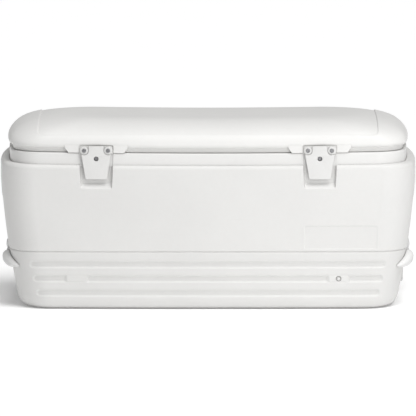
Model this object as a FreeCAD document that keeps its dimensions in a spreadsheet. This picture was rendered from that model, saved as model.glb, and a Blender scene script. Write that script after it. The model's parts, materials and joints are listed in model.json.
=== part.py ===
"""Insulated cooler chest with a hinged lid, two pull-down latches, two swing handles and a drain.

Units are millimetres. +X runs along the length, the latches face -Y and +Z is up.
The origin is on the floor, under the middle of the chest.
"""
import FreeCAD, Part

import math
import os

import Sketcher
from FreeCAD import Placement, Rotation, Vector

doc = FreeCAD.newDocument("CoolerChest")

# ---------------------------------------------------------------- driving dimensions

DIMENSIONS = {
    # outer shell
    "shell_length": 986, "shell_depth": 449, "shell_top": 345,
    "shoulder_drop": 46, "shoulder_round": 10,
    "waist_length": 953, "waist_depth": 434, "ledge_height": 140, "ledge_set_back": 0.6,
    "groove_half_tall": 2.5, "groove_deep": 2.5,
    "base_length": 901, "base_depth": 400, "base_round": 32,
    "shell_corner": 80, "end_bow": 18, "side_bow": 6, "skin": 3,
    "flute_tall": 20, "flute_deep": 4, "flute_top_z": 109, "flute_pitch": 34.3,
    "flute_top_half": 421, "flute_step_in": 7.5,
    "pad_left_x": -309, "pad_right_x": 307, "pad_half": 26,
    # liner and its collar
    "collar_length": 944, "collar_depth": 428, "collar_top": 373, "collar_corner": 72,
    "bay_length": 888, "bay_depth": 380, "bay_corner": 50, "bay_bow": 18,
    "floor_length": 868, "floor_depth": 364, "floor_height": 36, "floor_round": 5,
    # lid
    "lid_length": 951, "lid_depth": 433, "lid_corner": 76, "lid_gap": 0.5,
    "rim_height": 385, "lip_rise": 8, "lip_round": 4, "lid_top": 448, "crown_rounder": 30,
    "dome_end_run": 145, "dome_side_run": 110, "skirt_inset": 10,
    "panel_half_length": 399, "panel_half_depth": 205, "panel_sink": 2.5, "panel_corner": 16,
    "plug_inset": 7, "plug_drop": 14, "pan_inset": 36, "pan_rise": 8,
    # latches
    "latch_offset": 262, "tab_half": 69, "niche_half": 40, "niche_top": 392.5, "niche_round": 6,
    "niche_face": 211.5, "pocket_face": 210.5, "pocket_foot": 287.5, "pocket_slope": 14, "pocket_foot_half": 36,
    "bar_thick": 3, "bar_long": 77, "bar_tall": 18, "bar_z": 380.5, "boss_radius": 9.5, "boss_stand": 10,
    "boss_spacing": 56, "boss_z": 379.5, "axis_z": 388.5, "axis_depth": 219.5,
    "flap_thick": 4, "flap_top_half": 35, "flap_foot_half": 25.5, "flap_foot_z": 312,
    "tongue_half": 17, "notch_radius": 10.4, "eye_radius": 6.5, "dimple_radius": 12.6,
    "post_z": 360, "post_radius": 9, "post_stand": 6,
    # hinges
    "hinge_spacing": 300, "hinge_y": 219, "barrel_radius": 4.5, "hinge_pin": 2,
    "hinge_bore": 2.05, "leaf_thick": 3, "leaf_wide": 62, "lid_leaf_tall": 24,
    "body_leaf_tall": 21, "knuckle_long": 20, "knuckle_play": 0.4, "hinge_pad_half": 38,
    "hinge_pad_top": 404, "lid_screw_rise": 19, "body_screw_drop": 17,
    # handles
    "recess_face": 455, "recess_half": 125, "recess_foot": 97, "recess_head": 257,
    "recess_corner": 14,
    "handle_x": 466, "handle_z": 231, "grip_z": 108.5, "grip_tall": 37, "grip_reach": 485.6,
    "grip_half": 172, "grip_core_half": 112, "arm_offset": 95, "arm_wide": 16,
    "arm_thick": 12, "eye_outer": 7, "handle_pin": 3, "handle_bore": 3.06,
    "bracket_thick": 3, "bracket_wide": 46, "bracket_tall": 40, "ear_thick": 4,
    "ear_play": 0.6,
    # drain and foam port
    "drain_z": 58, "drain_recess": 26, "drain_face": 444, "drain_bore": 8,
    "drain_neck": 12, "drain_flange": 20, "gasket_thick": 2, "cap_radius": 17,
    "cap_long": 15, "nut_radius": 14.5, "nut_thick": 5,
    "port_radius": 6.7, "port_deep": 9,
    # screws
    "head_radius": 5, "head_tall": 2.4, "shank_radius": 1.9,
    "slot_wide": 1.2, "slot_deep": 1.4,
}

sheet = doc.addObject("Spreadsheet::Sheet", "Dimensions")
for row, (alias, value) in enumerate(DIMENSIONS.items(), start=1):
    sheet.set(f"A{row}", alias)
    sheet.set(f"B{row}", str(value))
    sheet.setAlias(f"B{row}", alias)
doc.recompute()


def dim(alias):
    """A driving dimension, read back from the sheet."""
    return float(sheet.get(alias))


def cell(alias):
    """The expression that binds a property to a driving dimension."""
    return f"Dimensions.{alias}"


SKIN = dim("skin")
LID_FOOT = dim("collar_top") + dim("lid_gap")
FAR = 600.0

# ---------------------------------------------------------------- document helpers


def feature(label, shape):
    """A free-form sub-part whose shape is worked out below."""
    made = doc.addObject("Part::Feature", label)
    made.Label = label
    made.Shape = shape
    made.Placement = Placement()
    return made


def new_body(label):
    made = doc.addObject("PartDesign::Body", label)
    made.Label = label
    return made


def new_sketch(body, role, name, offset=0.0):
    """A sketch on one of the body's own origin planes, moved along the plane's normal."""
    support = next(f for f in body.Origin.OriginFeatures if f.Role == role)
    sketch = body.newObject("Sketcher::SketchObject", name)
    sketch.AttachmentSupport = [(support, "")]
    sketch.MapMode = "FlatFace"
    sketch.AttachmentOffset = Placement(Vector(0, 0, offset), Rotation())
    return sketch


def add_circle(sketch, alias, u=0.0, v=0.0):
    """A circle with its radius bound to the sheet."""
    index = sketch.addGeometry(Part.Circle(Vector(u, v, 0), Vector(0, 0, 1), dim(alias)))
    sketch.addConstraint(Sketcher.Constraint("Radius", index, dim(alias)))
    sketch.setExpression(f"Constraints[{sketch.ConstraintCount - 1}]", cell(alias))
    for axis, place in (("DistanceX", u), ("DistanceY", v)):
        if place:
            sketch.addConstraint(Sketcher.Constraint(axis, -1, 1, index, 3, place))
    return index


def add_outline(sketch, points):
    """A closed chain of straight lines through the points."""
    first = sketch.GeometryCount
    count = len(points)
    for i in range(count):
        u, v = points[i], points[(i + 1) % count]
        sketch.addGeometry(Part.LineSegment(Vector(u[0], u[1], 0), Vector(v[0], v[1], 0)))
    for i in range(count):
        following = first + (i + 1) % count
        sketch.addConstraint(Sketcher.Constraint("Coincident", first + i, 2, following, 1))


def add_rectangle(sketch, wide, tall, u=0.0, v=0.0):
    """A rectangle centred on (u, v); wide and tall are aliases bound to the sheet."""
    w, h = dim(wide) / 2, dim(tall) / 2
    first = sketch.GeometryCount
    add_outline(sketch, [(u - w, v - h), (u + w, v - h), (u + w, v + h), (u - w, v + h)])
    for edge, kind in enumerate(("Horizontal", "Vertical", "Horizontal", "Vertical")):
        sketch.addConstraint(Sketcher.Constraint(kind, first + edge))
    for edge, kind, alias in ((0, "DistanceX", wide), (1, "DistanceY", tall)):
        sketch.addConstraint(Sketcher.Constraint(kind, first + edge, 1, first + edge, 2, dim(alias)))
        sketch.setExpression(f"Constraints[{sketch.ConstraintCount - 1}]", cell(alias))


def pad(body, sketch, name, length, midplane=False, reverse=False):
    """A pad; length is an expression of sheet cells."""
    made = body.newObject("PartDesign::Pad", name)
    made.Profile = sketch
    made.setExpression("Length", length)
    made.Midplane = midplane
    made.Reversed = reverse
    doc.recompute()
    return made


def pocket(body, sketch, name, length, midplane=False, reverse=False):
    """A pocket that must take material away."""
    before = body.Shape.Volume
    made = body.newObject("PartDesign::Pocket", name)
    made.Profile = sketch
    made.setExpression("Length", length)
    made.Midplane = midplane
    made.Reversed = reverse
    doc.recompute()
    if not body.Shape.Volume < before - 0.01:
        raise RuntimeError(f"{name} cuts nothing")
    return made


def cylinder(radius, start, end):
    """A cylinder between two points."""
    start, end = Vector(*start), Vector(*end)
    return Part.makeCylinder(radius, (end - start).Length, start, end - start)


def block(x, y, z):
    """A box from three (low, high) pairs."""
    size = [high - low for low, high in (x, y, z)]
    return Part.makeBox(*size, Vector(x[0], y[0], z[0]))


def both(shapes):
    """The shapes and their mirror images in the X = 0 plane."""
    return list(shapes) + [s.mirror(Vector(), Vector(1, 0, 0)) for s in shapes]


# ---------------------------------------------------------------- bowed plan outlines


def plan_outline(length, depth, corner, end_bow, side_bow, z):
    """A rounded rectangle whose ends and sides bulge by the bows, as one wire at height z.

    Each side is an arc through its own middle and the two theoretical corners. Each corner
    arc touches the two arcs beside it, so the outline is smooth all round.
    """
    a, b = length / 2, depth / 2
    end_radius = (b * b + end_bow * end_bow) / (2 * end_bow)
    side_radius = (a * a + side_bow * side_bow) / (2 * side_bow)
    end_centre = Vector(a - end_radius, 0, 0)
    side_centre = Vector(0, b - side_radius, 0)
    # the corner arc's centre is at a known distance from both centres
    reach_end = end_radius - corner
    reach_side = side_radius - corner
    line = side_centre - end_centre
    span = line.Length
    along = (reach_end ** 2 - reach_side ** 2 + span ** 2) / (2 * span)
    across = math.sqrt(reach_end ** 2 - along ** 2)
    unit = line.normalize()
    centres = [end_centre + unit * along + Vector(-unit.y, unit.x, 0) * (side * across)
               for side in (-1, 1)]
    centre = max(centres, key=lambda c: c.x + c.y)
    on_end = end_centre + (centre - end_centre).normalize() * end_radius
    on_side = side_centre + (centre - side_centre).normalize() * side_radius
    on_corner = centre + ((on_end + on_side) * 0.5 - centre).normalize() * corner

    def at(point, sx, sy):
        return Vector(point.x * sx, point.y * sy, z)

    arcs = [
        (at(on_end, 1, -1), Vector(a, 0, z), at(on_end, 1, 1)),
        (at(on_end, 1, 1), at(on_corner, 1, 1), at(on_side, 1, 1)),
        (at(on_side, 1, 1), Vector(0, b, z), at(on_side, -1, 1)),
        (at(on_side, -1, 1), at(on_corner, -1, 1), at(on_end, -1, 1)),
        (at(on_end, -1, 1), Vector(-a, 0, z), at(on_end, -1, -1)),
        (at(on_end, -1, -1), at(on_corner, -1, -1), at(on_side, -1, -1)),
        (at(on_side, -1, -1), Vector(0, -b, z), at(on_side, 1, -1)),
        (at(on_side, 1, -1), at(on_corner, 1, -1), at(on_end, 1, -1)),
    ]
    return Part.Wire([Part.Arc(*points).toShape() for points in arcs])


def round_rim(shape, radius, z):
    """Round every edge that lies wholly at height z."""
    edges = [e for e in shape.Edges
             if abs(e.BoundBox.ZMin - z) < 1e-4 and abs(e.BoundBox.ZMax - z) < 1e-4]
    return shape.makeFillet(radius, edges)


# ---------------------------------------------------------------- latch places and cutters

LATCHES = {"left": -dim("latch_offset"), "right": dim("latch_offset")}
HINGES = {"left": -dim("hinge_spacing"), "middle": 0.0, "right": dim("hinge_spacing")}
ENDS = {"left": -1, "right": 1}


def latch_pocket(x, grow=0.0):
    """The hollow around a latch flap, in the collar and the shell's front; grow thickens it."""
    top = dim("collar_top") + 60
    foot = dim("pocket_foot") - grow
    half, foot_half = dim("niche_half") + grow, dim("pocket_foot_half") + grow
    front = [(x - foot_half, foot), (x + foot_half, foot), (x + half, dim("collar_top")),
             (x + half, top), (x - half, top), (x - half, dim("collar_top"))]
    wall = Part.makePolygon([Vector(u, -FAR, w) for u, w in front + front[:1]])
    prism = Part.Face(wall).extrude(Vector(0, FAR, 0))
    face = -dim("pocket_face") + grow
    slope = dim("pocket_slope")
    side = [(face, top), (face, foot + slope), (face - slope, foot), (-FAR, foot), (-FAR, top)]
    edge = Part.makePolygon([Vector(x - FAR, v, w) for v, w in side + side[:1]])
    return prism.common(Part.Face(edge).extrude(Vector(2 * FAR, 0, 0)))


def stadium(x_from, x_to, half, z, y_from=-FAR, y_to=FAR):
    """A round-ended prism along Y: straight between the two places, half a circle at each."""
    rounds = [cylinder(half, (x, y_from, z), (x, y_to, z)) for x in (x_from, x_to)]
    return block((x_from, x_to), (y_from, y_to), (z - half, z + half)).fuse(rounds)


def base_size(z):
    """The tapered base's length and depth at a height."""
    share = z / dim("ledge_height")
    step = 2 * dim("ledge_set_back")
    return (dim("base_length") + share * (dim("waist_length") - step - dim("base_length")),
            dim("base_depth") + share * (dim("waist_depth") - step - dim("base_depth")))


def base_wall_y(x, z):
    """How far the bowed front wall of the base stands from the middle, at a place on it."""
    length, depth = base_size(z)
    bow = dim("side_bow")
    radius = (length ** 2 / 4 + bow ** 2) / (2 * bow)
    return depth / 2 - radius + math.sqrt(radius ** 2 - x ** 2)


def base_outline(outward, z):
    """The base's plan outline at a height, moved outward by a distance."""
    length, depth = base_size(z)
    return plan_outline(length + 2 * outward, depth + 2 * outward, dim("shell_corner") + outward,
                        dim("end_bow"), dim("side_bow"), z)


def flutes(grow=0.0):
    """Three flutes front and back; two flat pads interrupt the middle one at the front.

    Each flute follows the bowed wall, with a flat floor and sloping sides, and ends round.
    """
    half, deep = dim("flute_tall") / 2 + grow, dim("flute_deep") + grow
    clear, floor_half = 4.0, half / 2
    made = []
    for level in range(3):
        z = dim("flute_top_z") - level * dim("flute_pitch")
        run = dim("flute_top_half") - level * dim("flute_step_in") - half
        slab = Part.makeLoft([base_outline(20, z - half), base_outline(20, z + half)], True, True)
        kept = Part.makeLoft([base_outline(clear, z - half), base_outline(-deep, z - floor_half),
                              base_outline(-deep, z + floor_half), base_outline(clear, z + half)],
                             True, True)
        ring = slab.cut(kept)
        if level == 1:
            pads = [stadium(x - dim("pad_half") + half, x + dim("pad_half") - half, half - 2 * grow,
                            z, -FAR, 0) for x in (dim("pad_left_x"), dim("pad_right_x"))]
            ring = ring.cut(pads)
        made.append(ring.common(stadium(-run - grow, run + grow, half, z)))
    return made


def handle_recess(grow=0.0):
    """The hollow that takes the handle's arms and the fingers, at the right end."""
    half = dim("recess_half") + grow
    hollow = block((dim("recess_face") - grow, FAR), (-half, half),
                   (dim("recess_foot") - grow, dim("recess_head") + grow))
    along_x = [e for e in hollow.Edges if e.BoundBox.XLength > 1]
    return hollow.makeFillet(dim("recess_corner") + grow, along_x)


def drain_recess(grow=0.0):
    z = dim("drain_z")
    return cylinder(dim("drain_recess") + grow, (dim("drain_face") - grow, 0, z), (FAR, 0, z))


# ---------------------------------------------------------------- big moulded forms


def plain_base(grow=0.0):
    """The tapered base below the ledge, without hollows."""
    ends = [base_outline(grow, -grow), base_outline(grow, dim("ledge_height") + grow)]
    base = Part.makeLoft(ends, True, True)
    return round_rim(base, dim("base_round") + grow, -grow)


def plain_wall(grow=0.0):
    """The upper body from the ledge to the shoulder, without hollows."""
    spread = 2 * grow
    sizes = [
        (dim("waist_length"), dim("waist_depth"), dim("ledge_height") - 5),
        (dim("shell_length"), dim("shell_depth"), dim("shell_top") - dim("shoulder_drop")),
        (dim("shell_length"), dim("shell_depth"), dim("shell_top") + grow),
    ]
    wires = [plan_outline(length + spread, depth + spread, dim("shell_corner") + grow,
                          dim("end_bow"), dim("side_bow"), z) for length, depth, z in sizes]
    wall = Part.makeLoft(wires, True, True)
    return round_rim(wall, dim("shoulder_round") + grow, dim("shell_top") + grow)


def ledge_groove(grow=0.0):
    """The V-shaped groove round the shell where the upper wall meets the base."""
    half, deep, z = dim("groove_half_tall") + grow, dim("groove_deep") + grow, dim("ledge_height")
    clear = 4.0

    def at(outward, height):
        return plan_outline(dim("waist_length") + 2 * outward, dim("waist_depth") + 2 * outward,
                            dim("shell_corner") + outward, dim("end_bow"), dim("side_bow"), height)

    slab = Part.makeLoft([at(40, z - half), at(40, z + half)], True, True)
    kept = Part.makeLoft([at(clear, z - half), at(-deep, z), at(clear, z + half)], True, True)
    return slab.cut(kept)


def shell_form(inset=0.0):
    """The shell's outside, or a copy lying the inset inside it."""
    form = plain_base(-inset).fuse(plain_wall(-inset))
    cutters = [latch_pocket(x, inset) for x in LATCHES.values()]
    cutters += flutes(inset)
    cutters += both([handle_recess(inset)])
    cutters += [drain_recess(inset), ledge_groove(inset)]
    return form.cut(cutters)


def collar_form(inset, low, high):
    """The liner's raised rim, or a copy lying the inset inside it."""
    wires = [plan_outline(dim("collar_length") - 2 * inset, dim("collar_depth") - 2 * inset,
                          dim("collar_corner") - inset, dim("end_bow"), dim("side_bow"), z)
             for z in (low, high)]
    rim = Part.makeLoft(wires, True, True)
    return rim.cut([latch_pocket(x, inset) for x in LATCHES.values()])


def tub_form(grow, high):
    """The chest's bay, or the liner's outside where grow is its skin."""
    low = dim("floor_height")
    slope = (high - low) / (dim("collar_top") - low)
    length = dim("floor_length") + (dim("bay_length") - dim("floor_length")) * slope
    depth = dim("floor_depth") + (dim("bay_depth") - dim("floor_depth")) * slope
    wires = [
        plan_outline(dim("floor_length") + 2 * grow, dim("floor_depth") + 2 * grow,
                     dim("bay_corner") + grow, dim("bay_bow"), dim("side_bow"), low - grow),
        plan_outline(length + 2 * grow, depth + 2 * grow, dim("bay_corner") + grow,
                     dim("bay_bow"), dim("side_bow"), high),
    ]
    return round_rim(Part.makeLoft(wires, True, True), dim("floor_round") + grow, low - grow)


def dome_form(inset):
    """The lid's crown: elliptical shoulders over a rounded lip."""
    lip_z = dim("rim_height") + dim("lip_rise")
    rise = dim("lid_top") + dim("panel_sink") - lip_z - inset
    end_run, side_run = dim("dome_end_run") - inset, dim("dome_side_run") - inset
    steps = [(dim("lip_round"), dim("lip_round"), dim("rim_height") + inset, 0.0)]
    for degrees in (0, 15, 30, 45, 60, 75, 90):
        turn = math.radians(degrees)
        shrink = 1 - math.cos(turn)
        steps.append((end_run * shrink, side_run * shrink, lip_z + rise * math.sin(turn),
                      dim("crown_rounder") * math.sin(turn)))
    wires = []
    for end_in, side_in, z, rounder in steps:
        wires.append(plan_outline(
            dim("lid_length") - 2 * (end_in + inset), dim("lid_depth") - 2 * (side_in + inset),
            dim("lid_corner") - inset + rounder, dim("end_bow"), dim("side_bow"), z))
    lip = Part.makeLoft(wires[:2], True, True)
    crown = Part.makeLoft(wires[1:], True, False)
    return lip.fuse(crown)


def skirt_form(inset, high):
    """The part of the lid below its lip, set back so that fingers can get under it."""
    set_back = 2 * (dim("skirt_inset") + inset)
    wires = [plan_outline(dim("lid_length") - set_back, dim("lid_depth") - set_back,
                          dim("lid_corner") - dim("skirt_inset") - inset,
                          dim("end_bow"), dim("side_bow"), z)
             for z in (LID_FOOT, high)]
    return Part.makeLoft(wires, True, True)


def lid_blocks(inset):
    """Latch tabs and hinge pads: where the lid comes down flush over the finger recess."""
    half = dim("tab_half") - inset
    lid_face = plan_outline(dim("lid_length") - 2 * inset - 1, dim("lid_depth") - 2 * inset - 1,
                            dim("lid_corner") - inset, dim("end_bow"), dim("side_bow"), LID_FOOT)
    top = dim("rim_height") + dim("lip_rise") + 3
    full = Part.Face(lid_face).extrude(Vector(0, 0, top - LID_FOOT))
    front = [block((x - half, x + half), (-FAR, -150), (LID_FOOT, top)) for x in LATCHES.values()]
    blocks = [full.common(b) for b in front]
    pad_half = dim("hinge_pad_half") - inset
    rear = dim("lid_depth") / 2 - inset
    for x in HINGES.values():
        blocks.append(block((x - pad_half, x + pad_half), (150, rear),
                            (LID_FOOT, dim("hinge_pad_top") - inset)))
    return blocks


def lid_niche(x, grow=0.0):
    """The rounded hollow in a tab where the latch base sits."""
    half = dim("niche_half") + grow
    hollow = block((x - half, x + half), (-FAR, -dim("niche_face") + grow),
                   (LID_FOOT - 40, dim("niche_top") + grow))
    top = dim("niche_top") + grow
    corners = [e for e in hollow.Edges
               if e.BoundBox.YLength > 1 and abs(e.BoundBox.ZMax - top) < 1e-6]
    return hollow.makeFillet(dim("niche_round") + grow, corners)


def barrel_relief(grow=0.0):
    """Room round each hinge barrel."""
    y, z = dim("hinge_y"), dim("collar_top")
    half = dim("hinge_pad_half") + 2
    radius = dim("barrel_radius") + 1 + grow
    return [cylinder(radius, (x - half, y, z), (x + half, y, z)) for x in HINGES.values()]


def lid_form(inset=0.0):
    """The lid's outside, or a copy lying the inset inside it."""
    form = dome_form(inset).fuse([skirt_form(inset, dim("rim_height") + 6)] + lid_blocks(inset))
    prism = block((-dim("panel_half_length"), dim("panel_half_length")),
                  (-dim("panel_half_depth"), dim("panel_half_depth")),
                  (dim("rim_height") + 12, FAR))
    upright = [e for e in prism.Edges if e.BoundBox.ZLength > 1]
    prism = prism.makeFillet(dim("panel_corner"), upright)
    sunk = prism.cut(dome_form(inset + dim("panel_sink")))
    return form.cut([sunk] + [lid_niche(x, inset) for x in LATCHES.values()] + barrel_relief(inset))


# ---------------------------------------------------------------- screws

SCREW_PLACES = {
    # group: list of (head seat, direction out of the head)
    "latch_screws": [((x + side * dim("boss_spacing") / 2,
                       -dim("niche_face") - dim("boss_stand"), dim("boss_z")), (0, -1, 0))
                     for x in LATCHES.values() for side in (-1, 1)],
    "post_screws": [((x, -dim("pocket_face") - dim("post_stand") + 3, dim("post_z")), (0, -1, 0))
                    for x in LATCHES.values()],
    "hinge_lid_screws": [((x + side * 22, dim("lid_depth") / 2 + dim("leaf_thick"),
                           dim("collar_top") + dim("lid_screw_rise")), (0, 1, 0))
                         for x in HINGES.values() for side in (-1, 1)],
    "hinge_body_screws": [((x + side * 20, dim("collar_depth") / 2 + 0.3 + dim("leaf_thick"),
                            dim("collar_top") - dim("body_screw_drop")), (0, 1, 0)) for x in HINGES.values() for side in (-1, 1)],
    "handle_screws": [((end * (dim("recess_face") + dim("bracket_thick")),
                        arm * dim("arm_offset") + side * 18, dim("handle_z")), (end, 0, 0))
                      for end in ENDS.values() for arm in (-1, 1) for side in (-1, 1)],
}
SCREW_LONG = {"latch_screws": 17.0, "post_screws": 12.0, "hinge_lid_screws": 15.0,
              "hinge_body_screws": 13.0, "handle_screws": 8.0}


def shank(seat, out, radius, length):
    seat, out = Vector(*seat), Vector(*out)
    return Part.makeCylinder(radius, length, seat, out * -1)


def drills(*groups):
    """Clearance holes for the shanks of some groups of screws."""
    return [shank(seat, out, dim("shank_radius") + 0.1, SCREW_LONG[group] + 0.2)
            for group in groups for seat, out in SCREW_PLACES[group]]


def screw(seat, out, length):
    """A pan-head screw with a cross recess, head standing out of its seat."""
    seat, out = Vector(*seat), Vector(*out)
    head = Part.makeCylinder(dim("head_radius"), dim("head_tall"), Vector(), Vector(0, 0, 1))
    rim = [e for e in head.Edges if abs(e.BoundBox.ZMin - dim("head_tall")) < 1e-6]
    head = head.makeFillet(1.4, rim)
    wide, deep = dim("slot_wide") / 2, dim("slot_deep")
    reach = dim("head_radius") * 0.6
    top = dim("head_tall")
    cross = [block((-reach, reach), (-wide, wide), (top - deep, top + 1)),
             block((-wide, wide), (-reach, reach), (top - deep, top + 1))]
    body = Part.makeCylinder(dim("shank_radius"), length, Vector(), Vector(0, 0, -1))
    made = head.cut(cross).fuse(body).removeSplitter()
    made.Placement = Placement(seat, Rotation(Vector(0, 0, 1), out))
    return made


# ---------------------------------------------------------------- the chest body


def drain_bore(radius):
    z = dim("drain_z")
    return cylinder(radius, (dim("floor_length") / 2 - 30, 0, z), (FAR, 0, z))


def port_bore(radius, extra=0.0):
    """The foam port's hole, square to the front wall, in the right-hand pad."""
    x, z = dim("pad_right_x"), dim("flute_top_z") - dim("flute_pitch")
    y = base_wall_y(x, z)
    return cylinder(radius, (x, -y - 1.0 - extra, z), (x, -y + dim("port_deep"), z))


def throat_form(low, high):
    """The opening in the shell's top through which the foam fills the collar."""
    inset = SKIN + 1
    wires = [plan_outline(dim("collar_length") - 2 * inset, dim("collar_depth") - 2 * inset,
                          dim("collar_corner") - inset, dim("end_bow"), dim("side_bow"), z)
             for z in (low, high)]
    half = dim("niche_half") + 6
    webs = [block((x - half, x + half), (-FAR, -200), (low - 1, high + 1)) for x in LATCHES.values()]
    return Part.makeLoft(wires, True, True).cut(webs)


tub_outside = tub_form(SKIN, dim("collar_top"))
foam_cavity = shell_form(SKIN)
throat = throat_form(dim("shell_top") - SKIN - 2, dim("shell_top") + 1)
collar_cavity = collar_form(SKIN, dim("shell_top"), dim("collar_top") - SKIN)

outer_shell = shell_form().cut([foam_cavity, throat])
outer_shell = outer_shell.cut([drain_bore(dim("drain_neck") + 0.1), port_bore(dim("port_radius") + 0.1)]
                              + drills("handle_screws"))
feature("outer_shell", outer_shell)

liner = collar_form(0.0, dim("shell_top"), dim("collar_top")).fuse(tub_outside)
liner = liner.cut([collar_cavity.cut(tub_outside), tub_form(0.0, dim("collar_top") + 10)])
liner = liner.cut([drain_bore(dim("drain_neck") + 0.1)] + drills("post_screws", "hinge_body_screws"))
feature("inner_liner", liner)

foam = foam_cavity.fuse([throat, collar_cavity]).cut(tub_outside)
foam = foam.cut([drain_bore(dim("drain_neck") + 0.1), port_bore(dim("port_radius") + 0.1, 4)]
                + drills("handle_screws", "post_screws", "hinge_body_screws"))
feature("body_foam", foam)

# ---------------------------------------------------------------- the lid

lid_cavity = lid_form(SKIN)
lid_shell = lid_form().cut(lid_cavity).cut(
    skirt_form(SKIN, LID_FOOT + SKIN)).cut(drills("latch_screws", "hinge_lid_screws"))
feature("lid_shell", lid_shell)


def pan_form(inset, extra_drop):
    """The step on the lid's underside that enters the collar."""
    set_back = 2 * (dim("plug_inset") + inset)
    wires = [plan_outline(dim("bay_length") - set_back, dim("bay_depth") - set_back,
                          dim("bay_corner") - inset, dim("bay_bow"), dim("side_bow"), z)
             for z in (LID_FOOT - dim("plug_drop") + extra_drop, LID_FOOT + SKIN)]
    return Part.makeLoft(wires, True, True)


def pan_hollow(inset, rise):
    """The shallow tray in the middle of that step."""
    set_back = 2 * (dim("pan_inset") - inset)
    foot = LID_FOOT - dim("plug_drop")
    wires = [plan_outline(dim("bay_length") - set_back, dim("bay_depth") - set_back,
                          dim("bay_corner") - 10, dim("bay_bow"), dim("side_bow"), z)
             for z in (foot - 5, foot + rise)]
    return Part.makeLoft(wires, True, True)


flange = skirt_form(SKIN + 0.05, LID_FOOT + SKIN)
pan_outside = flange.fuse(pan_form(0.0, 0.0)).cut(pan_hollow(0.0, dim("pan_rise")))
pan_inside = pan_form(SKIN, SKIN).cut(pan_hollow(SKIN, dim("pan_rise") + SKIN))
lid_liner = pan_outside.cut(pan_inside)
feature("lid_liner", lid_liner)

lid_foam = lid_cavity.cut(block((-FAR, FAR), (-FAR, FAR), (0, LID_FOOT + SKIN))).fuse(pan_inside)
lid_foam = lid_foam.cut(drills("latch_screws", "hinge_lid_screws"))
feature("lid_foam", lid_foam)

# ---------------------------------------------------------------- latches


def latch_base(label, x):
    """A bar with two round screw bosses and the rail that carries the flap's thin hinge."""
    body = new_body(label)
    rise = dim("niche_face")
    bar = new_sketch(body, "XZ_Plane", label + "_bar", 0)
    add_rectangle(bar, "bar_long", "bar_tall", 0, dim("bar_z") - dim("boss_z"))
    pad(body, bar, label + "_bar_pad", cell("bar_thick"))
    bosses = new_sketch(body, "XZ_Plane", label + "_bosses", 0)
    for side in (-1, 1):
        add_circle(bosses, "boss_radius", side * dim("boss_spacing") / 2, 0)
    pad(body, bosses, label + "_boss_pad", cell("boss_stand"))
    rail = new_sketch(body, "XZ_Plane", label + "_rail", 0)
    high = dim("axis_z") - dim("boss_z")
    add_outline(rail, [(-15, high - 2), (15, high - 2), (15, high + 2), (-15, high + 2)])
    pad(body, rail, label + "_rail_pad", f"{cell('bar_thick')} + 2.6")
    holes = new_sketch(body, "XZ_Plane", label + "_holes", 0)
    for side in (-1, 1):
        circle = Part.Circle(Vector(side * dim("boss_spacing") / 2, 0, 0), Vector(0, 0, 1),
                             dim("shank_radius") + 0.1)
        holes.addGeometry(circle)
    pocket(body, holes, label + "_hole_cut", f"{cell('boss_stand')} + 1", reverse=True)
    body.Placement = Placement(Vector(x, -rise, dim("boss_z")), Rotation())
    return body


def latch_flap(label, x):
    """The pull-down flap: a tapered plate, notched round the bosses, with a barrel at its top."""
    body = new_body(label)
    top, foot = 0.0, dim("flap_foot_z") - dim("axis_z")
    shoulder = dim("boss_z") - dim("axis_z") - 10
    half, foot_half = dim("flap_top_half"), dim("flap_foot_half")
    tongue = dim("tongue_half")
    plate = new_sketch(body, "XZ_Plane", label + "_plate", -dim("flap_thick") / 2)
    add_outline(plate, [(-foot_half, foot), (foot_half, foot), (half, shoulder),
                        (tongue, shoulder), (tongue, top), (-tongue, top), (-tongue, shoulder),
                        (-half, shoulder)])
    pad(body, plate, label + "_plate_pad", cell("flap_thick"))
    barrel = new_sketch(body, "YZ_Plane", label + "_barrel", 0)
    barrel.addGeometry(Part.Circle(Vector(), Vector(0, 0, 1), dim("flap_thick") / 2))
    pad(body, barrel, label + "_barrel_pad", f"2 * {cell('tongue_half')}", midplane=True)
    lip = new_sketch(body, "YZ_Plane", label + "_lip", 0)
    add_outline(lip, [(-dim("flap_thick") / 2, foot), (-dim("flap_thick") / 2, foot + 9),
                      (-dim("flap_thick") / 2 - 2.4, foot)])
    pad(body, lip, label + "_lip_pad", f"2 * {cell('flap_foot_half')}", midplane=True)
    notches = new_sketch(body, "XZ_Plane", label + "_notches", 0)
    for side in (-1, 1):
        add_circle(notches, "notch_radius", side * dim("boss_spacing") / 2,
                   dim("boss_z") - dim("axis_z"))
    pocket(body, notches, label + "_notch_cut", "20", midplane=True)
    eye = new_sketch(body, "XZ_Plane", label + "_eye", 0)
    add_circle(eye, "eye_radius", 0, dim("post_z") - dim("axis_z"))
    pocket(body, eye, label + "_eye_cut", "20", midplane=True)
    dimple = new_sketch(body, "XZ_Plane", label + "_dimple", dim("flap_thick") / 2 - 1.2)
    add_circle(dimple, "dimple_radius", 0, dim("post_z") - dim("axis_z"))
    pocket(body, dimple, label + "_dimple_cut", "4", reverse=True)
    body.Placement = Placement(Vector(x, -dim("axis_depth"), dim("axis_z")), Rotation())
    return body


def latch_post(label, x):
    """The round catch behind the flap's eye, counterbored for its screw."""
    body = new_body(label)
    disc = new_sketch(body, "XZ_Plane", label + "_disc", 0)
    add_circle(disc, "post_radius")
    pad(body, disc, label + "_disc_pad", cell("post_stand"))
    seat = new_sketch(body, "XZ_Plane", label + "_seat", dim("post_stand") - 3)
    seat.addGeometry(Part.Circle(Vector(), Vector(0, 0, 1), dim("head_radius") + 0.3))
    pocket(body, seat, label + "_seat_cut", "4", reverse=True)
    hole = new_sketch(body, "XZ_Plane", label + "_hole", 0)
    hole.addGeometry(Part.Circle(Vector(), Vector(0, 0, 1), dim("shank_radius") + 0.1))
    pocket(body, hole, label + "_hole_cut", "20", midplane=True)
    body.Placement = Placement(Vector(x, -dim("pocket_face"), dim("post_z")), Rotation())
    return body


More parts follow.
